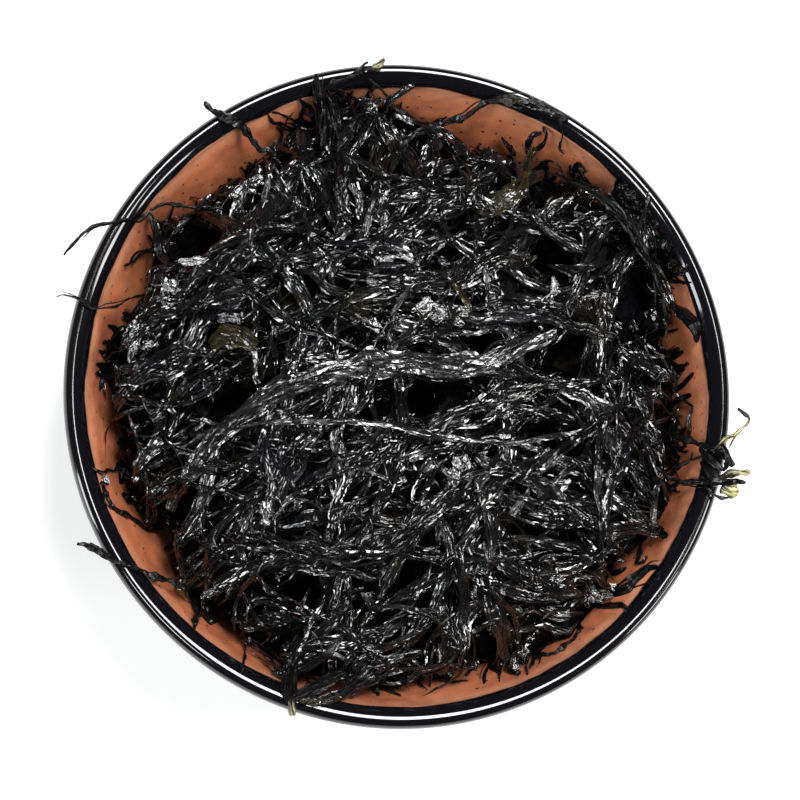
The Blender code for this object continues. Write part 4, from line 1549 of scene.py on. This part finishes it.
# Light sprigs at the top, where the heap meets the clay.
BRIGHT_LIP_FEATURES = (
    strand(
        "top_sprig", 1.9, (-4.6, 84.7, 0), (-4.4, 88.3, 2), (-1.6, 90.3, 2.5), (1, 92, 2.5), (3.7, 93.2, 2),
        ropes=3, style=CRUSHED),
    strand(
        "top_cross", 2, (-2.2, 85.3, 0), (0.8, 84.4, 1), (4, 83.4, 1), (6.6, 82.8, 0), ropes=2,
        style=CRUSHED),
)
# Light strands that lean on the wall.
BRIGHT_WALL_FEATURES = (
    knotty(
        "upper_right_bridge", 1.2, (74.6, 61.2, 3), (73.8, 57, 6), (73.4, 52.4, 10), (72, 47, 15),
        (69.6, 41.1, 20), (67.4, 35.5, 22), ropes=2, spread=0.4, on_wall=True),
    strand(
        "lower_pleat", 4, (33.6, -83.4, 0.6), (36.2, -79.8, 1.6), (39.6, -75.2, 5), (43.4, -70.4, 10),
        (47, -66.2, 14), ropes=2, on_wall=True),
)
# Half clear, olive and brown pieces.
OLIVE_FEATURES = (
    strand(
        "olive_strip", 3.2, (42, 76, 2), (40, 73, 4), (38.6, 69, 5), (37, 65, 4.5), (34, 61, 4), ropes=3,
        spread=0.6, style=CRUSHED),
    strand(
        "olive_patch", 7.4, (37.2, 67, 4.5), (35, 63, 5), (32, 59.6, 4.5), (28, 56.6, 3.5), (23, 55, 0.5),
        ropes=3, spread=0.5, style=CRUSHED),
    knotty(
        "bottom_brown", 2.4, (-30.1, -91.9, 3), (-25.9, -91.8, 2.5), (-21.7, -91.2, 2), (-17.4, -90.5, 1),
        ropes=2, spread=0.6),
    strand(
        "left_brown", 6, (-57, 13, 0), (-53, 15, 1.6), (-48, 15, 1.6), (-43, 13, 0), ropes=2, spread=0.6,
        style=CRUSHED),
    tucked("middle_brown", 2, (9, 36), (14, 32), (18, 27), (20, 23), ropes=1),
)
# Strands that cross the lip or lie along it.
LIP_FEATURES = (
    strand(
        "upper_right_edge", 1.6, (46, 70, -1), (58, 64, 1), (69, 54, 2), (75, 43, 2), (80, 31, 1),
        (82, 18, -1), ropes=5, spread=1.3),
    strand(
        "top_clump", 2.4, (-22.3, 74.2, 0), (-22.7, 80.3, 2), (-24, 84.8, 3), (-25.1, 88.8, 3.5),
        (-25.9, 91.9, 3.5), (-26.3, 94.8, 3.5), ropes=12, spread=1.1),
    strand(
        "top_clump_b", 1.8, (-18, 77.7, 0), (-19.5, 83.6, 2), (-21.4, 87.8, 3), (-24.3, 90.9, 3.5),
        ropes=5),
    knotty(
        "top_curl", 1.6, (-24.2, 90.3, 1.5), (-20.7, 92.3, 3), (-16.9, 94, 3.5), (-13.7, 95.3, 4),
        (-9.6, 96.8, 5), ropes=3),
    knotty("top_loop", 1.4, (-13.9, 94.6, 3.5), (-13.8, 95.8, 5), (-12.4, 97.6, 6), (-10.9, 98.1, 5.5)),
    knotty(
        "top_thread", 0.9, (-10.4, 94.2, 2.5), (-7.8, 92.6, 2), (-4.9, 90.6, 2), (-3.2, 89.3, 1), ropes=1),
    knotty(
        "lip_mesh", 3, (28, 89, 2.6), (32.5, 89.4, 3), (37.5, 88.6, 3), (42.5, 86.8, 3), (47, 84.7, 2.6),
        (50.4, 83, 2), ropes=4, spread=0.5),
    knotty(
        "lip_runner", 1.9, (-0.5, 75.1, 0), (5.8, 80.2, 1.5), (12.5, 82.5, 1.5), (18.4, 84.6, 1.5),
        (22.9, 87.1, 2), (27.5, 88.8, 2.5), (34.2, 89.3, 3), (40.5, 87.5, 3), (45.4, 85.1, 3),
        (49.7, 83.5, 2), ropes=2),
    knotty(
        "lip_tail", 1, (47, 83.8, 2.5), (48.3, 80.9, 2), (49.5, 78, 1), (49, 75.7, 0.5), (50.4, 74.1, 0)),
    knotty(
        "upper_left_knot", 2.8, (-55.4, 82.2, 3.2), (-52.6, 81.3, 2.8), (-49.6, 80.1, 2.5),
        (-46.8, 78.6, 2), (-44.6, 75.6, 1.8), ropes=1),
    knotty("upper_left_bulb", 2, (-57.4, 82.7, 4.4), (-58.6, 83.6, 5), (-59.9, 84.1, 5.2)),
    knotty(
        "upper_left_tip", 1.6, (-35, 69.2, -1), (-39.6, 74, 1), (-42.4, 73.6, 1.5), (-45, 75.9, 2),
        (-46.9, 78.8, 2), (-49.4, 80.3, 2.5), (-53.1, 81.2, 3), (-56.4, 82.2, 4), (-59.1, 83.7, 5),
        ropes=1),
    knotty(
        "left_tip", 1.1, (-54.6, 56.3, 0), (-59.1, 55.6, 1), (-64.5, 55.4, 1.5), (-69.3, 55.4, 1.5),
        (-73.4, 54, 1.5), (-76.4, 51.3, 2), (-79, 49.5, 2.5), (-83.1, 48.6, 3), (-86.8, 47.5, 3.5),
        (-90.9, 46.6, 3.5), (-93.2, 45.5, 4), (-95.5, 43.1, 4), (-97.8, 40.5, 3.5), (-100.1, 37.9, 3),
        ropes=1),
    knotty(
        "left_hair", 0.9, (-74.9, 29.4, -1), (-78.7, 28.6, 1), (-82.3, 26, 1.5), (-86.4, 24.3, 2),
        (-90.2, 23.4, 2.5), (-94.1, 24, 3), (-96.4, 24.9, 4), (-98.1, 25.8, 5), (-100.5, 26.2, 5),
        (-102.2, 25.3, 5), ropes=1),
    knotty(
        "lower_left_tip", 2.2, (-63.2, -59.2, -1), (-67.9, -57.1, 1), (-72.3, -55.7, 1.5), (-76.7, -54, 2),
        (-81, -52.5, 2.5), (-84.8, -51.2, 3), (-87.9, -49.1, 4), (-91.1, -47.8, 5), (-94.8, -46.7, 5)),
    knotty("lower_left_prong", 1.1, (-86.5, -50, 3.5), (-88.8, -48.1, 4.5), (-91.4, -46.7, 5)),
    knotty(
        "right_a", 1.9, (81.6, -11, -1), (85.2, -12.4, 1), (87.9, -13.6, 2), (90.5, -15.1, 3),
        (93.7, -17.5, 3.5), (96.8, -19.5, 4), (99.2, -22.1, 4), ropes=1),
    knotty(
        "right_b", 1.4, (72.6, -20.4, 0), (77.8, -22.6, 1), (81.1, -24.2, 1.5), (84.4, -25.4, 2),
        (88.6, -26.9, 3), (91.6, -26.9, 4), (94.6, -26.5, 5), ropes=1),
    knotty(
        "right_c", 1.3, (81, -22.9, 0), (83.2, -22, 1), (85.7, -21.4, 2), (87.9, -20.1, 3),
        (89.2, -19, 3.5), (91.5, -17.7, 4)),
    knotty("right_spike", 0.8, (87.5, -20.7, 2.5), (87.7, -19, 4), (87.4, -17.5, 5)),
    knotty(
        "right_arm_under", 2.6, (90, -25.2, 2.5), (93, -26.8, 4), (96.5, -26.6, 4.6), (99.8, -26.3, 5),
        (102.6, -27, 5), ropes=2, spread=0.3),
    strand(
        "right_mass_a", 3.6, (91, -15.6, 2), (92.3, -18.3, 4), (94.1, -21.2, 4.5), (96.4, -23.7, 4),
        ropes=2),
    strand(
        "right_mass_b", 2.8, (89.9, -20.5, 2.5), (91.5, -23.2, 4), (93.2, -25.7, 4), (95.6, -27.2, 3.5),
        ropes=2),
    strand(
        "right_mass_c", 2.4, (95.8, -14.3, 4), (96.6, -17.5, 5), (97.1, -20.7, 5), (96, -23.4, 4.5),
        ropes=1),
    knotty(
        "right_under", 1.1, (90.7, -27.6, 3), (91.9, -29.5, 3), (94, -31.4, 3.5), (96.7, -31.9, 3.5),
        (99.2, -31.1, 3.5)),
    strand(
        "bottom_clump", 4.4, (-30, -72.1, 0), (-30.9, -77.3, 1.5), (-32.7, -83.3, 3), (-32.9, -88.5, 3.5),
        (-32.8, -92.5, 4), ropes=6),
    strand(
        "bottom_web", 4.2, (-32.6, -91, 3.4), (-28.6, -89.4, 3), (-24.4, -87.4, 2.6), (-20, -85.4, 2.4),
        (-15.4, -83, 2), ropes=5, spread=0.7),
    knotty("bottom_thread", 0.7, (-33.6, -77.4, 1), (-34.4, -82.1, 2), (-35.5, -88.5, 2.5)),
)
# Strands on the bare clay.
WALL_FEATURES = (
    knotty(
        "wall_hair", 1.1, (-91.1, -24.2, 0), (-88.6, -24.9, 0), (-85.2, -23.1, 0), (-83.5, -20.9, 1),
        on_wall=True),
    knotty(
        "wall_rope", 1.4, (-87.7, -25.7, 0), (-87.6, -30.1, 0), (-86.6, -33.4, 0), (-84.9, -35.2, 0),
        (-81.4, -36.8, 0), (-77.6, -38.7, 1), (-74, -40.2, 2), (-70, -40.3, 4), (-65.4, -42.2, 8), ropes=1,
        on_wall=True),
    knotty("left_leg", 2, (-59, -63.5, 2), (-60.1, -67.3, 0), (-61.1, -70.8, 0), on_wall=True),
    knotty("left_leg_b", 1.6, (-58.8, -65.4, 2), (-56.4, -67.8, 0), (-53.9, -68.3, 0), on_wall=True),
    knotty("bottom_hair", 0.7, (-44.4, -72.3, 4), (-45.8, -78.2, 0.5), (-47.3, -83.3, 0.5), on_wall=True),
    knotty("upper_left_thread", 0.4, (-35.7, 82.1, 0), (-34.1, 84, 0), (-32.4, 85.8, 0), on_wall=True),
    knotty("upper_left_post", 1.2, (-36.4, 82.4, 0), (-35.8, 80.4, 0), (-36.2, 78.2, 2), on_wall=True),
    knotty(
        "upper_right_rim", 1.4, (75.5, 49.3, 4), (78.2, 48.6, 2), (80.3, 46.9, 1), (81.4, 44.3, 1), ropes=1,
        on_wall=True),
    strand(
        "right_blade", 3.4, (82.8, 31, 4), (86.1, 26.9, 1), (88.9, 22, 0), (90.9, 16.5, 0), ropes=2,
        on_wall=True),
    knotty("right_bit", 1.2, (85.4, 36.8, 0), (86.3, 38.3, 0), (86.9, 39.9, 0), on_wall=True),
    strand(
        "wall_strip", 3.4, (57.4, -60.4, 4), (60.5, -62.5, 1), (63.8, -59.4, 1), (67, -58.4, 0.5),
        (70, -57, 0), (73, -54.3, 0), (75.4, -52.3, 0), (77.2, -52.2, 0), ropes=3, spread=0.6,
        on_wall=True),
    strand(
        "wall_strip_under", 2, (58.8, -61.1, 3), (62.9, -63.2, 0), (66.3, -62.8, 0), (67.8, -65.1, 0),
        on_wall=True),
    knotty(
        "wall_loop", 1.3, (54.7, -68, 0), (54.9, -69.9, 0), (53.3, -72.4, 0), (50.7, -75.1, 0),
        (48.8, -76.6, 0), (44.6, -78.1, 0), on_wall=True),
    knotty("lower_thread", 0.9, (41.5, -76.5, 2), (39.9, -80.1, 0), (37.7, -83.8, 0), on_wall=True),
    knotty(
        "olive_horn", 2.2, (40.6, 75.6, 9), (40, 78, 7.5), (41, 79.8, 6), (43.2, 80, 5), ropes=1,
        on_wall=True),
    knotty(
        "olive_horn_b", 1.9, (42.6, 76, 9), (44.6, 78, 6), (45, 80.2, 3), (43.6, 82, 1.6), ropes=1,
        on_wall=True),
    knotty(
        "edge_tuft", 1.4, (55, 68.8, 4), (54.7, 71.1, 1), (55.7, 71.7, 1), (57.6, 69.1, 4), ropes=1,
        on_wall=True),
    knotty(
        "top_scrap", 1.6, (-12.8, 90.4, 0), (-10.7, 90.9, 0), (-9, 90.4, 0), (-7.8, 89.2, 0), on_wall=True),
)
# Short strands at the heap's edge: from and to which azimuth, how many, and how far up the wall.
FRINGES = (
    (0, 360, 66, (0.05, 0.45)), (25, 43, 62, (0.5, 1.15)), (14, 21, 5, (0.3, 0.6)),
    (100, 107.5, 13, (0.7, 1)), (340, 368, 14, (0.3, 0.55)), (55, 77, 12, (0.15, 0.4)),
    (122, 131, 6, (0.15, 0.35)), (144, 151, 4, (0.3, 0.5)), (168, 178, 6, (0.4, 0.7)),
    (290, 302, 6, (0.35, 0.6)))
# Stems and holdfasts that dried pale.
PALE_FEATURES = (
    knotty(
        "top_curl_tip", 2.4, (-12.2, 96, 4.6), (-9.6, 96.8, 5), (-7.4, 97.9, 5.6), (-5.8, 98.9, 6),
        pale=(0, 0.2, 0.45, 0.4)),
    knotty(
        "right_arm", 2, (93.7, -26.7, 4), (96.5, -25.2, 5), (100, -24.1, 5.5), (102.2, -24, 5.5),
        (103.9, -24.5, 5), pale=(0, 0.1, 0.3, 0.6, 0.7)),
    knotty(
        "right_blob", 3.9, (95.6, -28.2, 3.6), (96.9, -28.8, 3.6), (98.5, -29.4, 3.8), (100.1, -29.6, 3.4),
        pale=(0.1, 0.6, 0.9, 0.6)),
    knotty("right_prong", 0.8, (99.5, -12.7, 6), (98.7, -14.8, 5.5), (98.1, -17.1, 5), pale=(0.6, 0.3, 0)),
    knotty(
        "right_hook", 1.4, (93.6, -17.6, 4), (95.3, -15, 4.4), (97.2, -13.6, 5), (99.2, -13.2, 6),
        (100.9, -11.6, 6.5), (102.3, -9.8, 7), (103.4, -8.2, 7), (103.1, -7.1, 7), (101.6, -5.6, 6.5),
        (100.2, -5.1, 6), pale=(0, 0.2, 0.45, 0.6, 0.6, 0.5, 0.2, 0, 0)),
    knotty(
        "bottom_tip", 3, (-32.9, -90.5, 3.8), (-32.8, -92.5, 4), (-32.6, -94.4, 4), (-32.5, -95.9, 4),
        pale=(0, 0.25, 0.5, 0.3)),
)
# Bright flat scraps among the strands, as (x, y, radius).
FOIL_PATCHES = (
    (10.6, 21.8, 4.4), (16, 23.5, 2.6), (5.5, 24.8, 2.4), (-9.7, 18.4, 2.4), (-5.7, 38.6, 3.4),
    (1.5, 39.2, 2.2), (-51.3, 21.6, 2.8), (-80.5, 16.5, 2.4), (16.8, -23.4, 3.8), (14, -28, 2.2),
    (-45.2, 62.6, 2.8), (-49.5, 60, 1.8), (46.9, -55.8, 2), (47.6, -28.4, 2.4), (-40.5, -36.5, 2.2),
    (-62, 37, 2.6), (45.5, 31, 2), (-6.5, 57.5, 1.8), (-56, -60, 2), (26.5, 35.5, 1.8), (-1.5, -27.6, 1.8),
    (11.4, -62.1, 2))
# Bright flat scraps near the wall.
WALL_FOIL = (
    (60.9, -59.7, 3), (59.2, -61, 2), (66.5, -57.8, 1.5), (38.4, -78.2, 2), (35.4, -81.6, 1.6),
    (-87.4, -27.6, 1.5), (59, 61, 1.8), (79, 40, 1.4))
# Bright flat scraps on top of the strands.
TOP_FOIL = (
    (-68.2, 29.2, 3.4), (-70, 25.4, 2.2), (-79.6, 13, 2.8), (-75, 13.2, 1.9), (-48.2, 20.2, 1.1),
    (-40.6, -39.9, 1.3))
# Dark scraps on the bare clay.
WALL_SCRAPS = (
    (-88.1, 15.7, 1.5), (-89.8, -6.2, 1.5), (-88.2, -27.7, 2.1), (-69, -48.3, 1.4), (67.3, -63.9, 1.6),
    (-2.5, -88.5, 1.3), (-38.1, -82.6, 1.2), (89.7, -11.8, 1.3), (-76.1, 49.1, 1), (-62.5, 59.2, 1.2),
    (-80.3, 35.8, 0.9), (-86.6, 20.1, 0.8), (36, -79.5, 0.8), (30.5, -83.5, 0.6), (10, 86, 0.7))


# ---------------------------------------------------------------- studio


def seen_from(azimuth: float, from_vertical: float) -> Vector:
    """The direction from the bowl to what stands at these two angles, which are degrees."""
    turn, lean = math.radians(azimuth), math.radians(from_vertical)
    return Vector((math.sin(lean) * math.cos(turn), math.sin(lean) * math.sin(turn), math.cos(lean)))


@dataclass(frozen=True)
class Softbox:
    """A soft light: where it is seen from the bowl, in degrees, its size in metres and its brightness."""

    name: str
    azimuth: float
    from_vertical: float
    distance: float
    size: tuple[float, float]
    radiance: float
    tint: tuple[float, float, float] = (1.0, 1.0, 1.0)
    round: bool = False
    aim_height: float = 0.06

    def build(self) -> None:
        """Adds the light, turned to the bowl."""
        back = seen_from(self.azimuth, self.from_vertical)
        light = bpy.data.lights.new(self.name, "AREA")
        light.shape = "DISK" if self.round else "RECTANGLE"
        light.size, light.size_y = self.size
        area = math.pi / 4 * self.size[0] ** 2 if self.round else self.size[0] * self.size[1]
        light.energy = self.radiance * math.pi * area
        light.color = self.tint
        made = add_object(self.name, light)
        made.location = back * self.distance + Vector((0.0, 0.0, self.aim_height))
        made.rotation_mode = "QUATERNION"
        made.rotation_quaternion = back.to_track_quat("Z", "Y")
        made.visible_camera = False


@dataclass
class Studio:
    """Floor, lights and the camera at the photograph's viewing angle.

    The floor's half width is metres. The camera's aim and distance are millimetres.
    """

    floor_half: float = 4.0
    world_level: float = 0.06
    camera_distance: float = 700.0
    camera_tilt: float = 9.4
    camera_azimuth: float = 230.0
    aim: tuple[float, float, float] = (-0.3, -2.6, 66.5)
    lens: float = 105.5
    softboxes: tuple = (
        Softbox("key_softbox", 68.0, 20.0, 1.1, (0.30, 0.38), 34.0),
        Softbox("right_softbox", 352.0, 35.0, 1.3, (0.16, 0.50), 20.0, tint=(1.0, 0.98, 0.95)),
        Softbox("left_softbox", 195.0, 70.0, 1.4, (0.24, 0.75), 16.0, tint=(0.95, 0.98, 1.0)),
        Softbox("low_right_softbox", 330.0, 65.0, 1.4, (0.30, 0.30), 18.0),
        Softbox("fill_softbox", 222.0, 24.0, 1.4, (0.29, 0.29), 23.0, round=True),
    )

    def add_floor(self) -> None:
        """Adds the pale floor that the bowl stands on."""
        mesh = bpy.data.meshes.new("studio_floor")
        corners = ((-1, -1), (1, -1), (1, 1), (-1, 1))
        points = [(x * self.floor_half, y * self.floor_half, 0.0) for x, y in corners]
        mesh.from_pydata(points, [], [(0, 1, 2, 3)])
        mesh.materials.append(PaleFloor().material())
        add_object("studio_floor", mesh)

    def add_camera(self) -> None:
        """Adds the camera and makes it the scene's."""
        back = seen_from(self.camera_azimuth, self.camera_tilt)
        right = Vector((0.0, 1.0, 0.0)).cross(back).normalized()
        camera = bpy.data.cameras.new("camera")
        camera.lens = self.lens
        camera.clip_start, camera.clip_end = 0.01, 20.0
        made = add_object("camera", camera)
        turned = Matrix((right, back.cross(right), back)).transposed().to_4x4()
        turned.translation = (Vector(self.aim) + back * self.camera_distance) * MM
        made.matrix_world = turned
        bpy.context.scene.camera = made

    def add_world(self) -> None:
        """Adds the even grey room light."""
        world = bpy.data.worlds.new("studio")
        world.use_nodes = True
        background = world.node_tree.nodes["Background"]
        background.inputs["Color"].default_value = (1.0, 1.0, 1.0, 1.0)
        background.inputs["Strength"].default_value = self.world_level
        bpy.context.scene.world = world
        bpy.context.scene.view_settings.view_transform = "Standard"

    def build(self) -> None:
        """Adds everything round the object."""
        self.add_world()
        self.add_floor()
        self.add_camera()
        for softbox in self.softboxes:
            softbox.build()


def main() -> None:
    """Loads the frame and builds the bowl, the heap and the studio."""
    logging.basicConfig(level=logging.INFO, format="%(name)s: %(message)s")
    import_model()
    shape = BowlShape()
    form = HeapForm(shape)
    Bowl(shape, form.reach).build()
    LaverHeap(form).build()
    Studio().build()


if __name__ == "__main__":
    main()
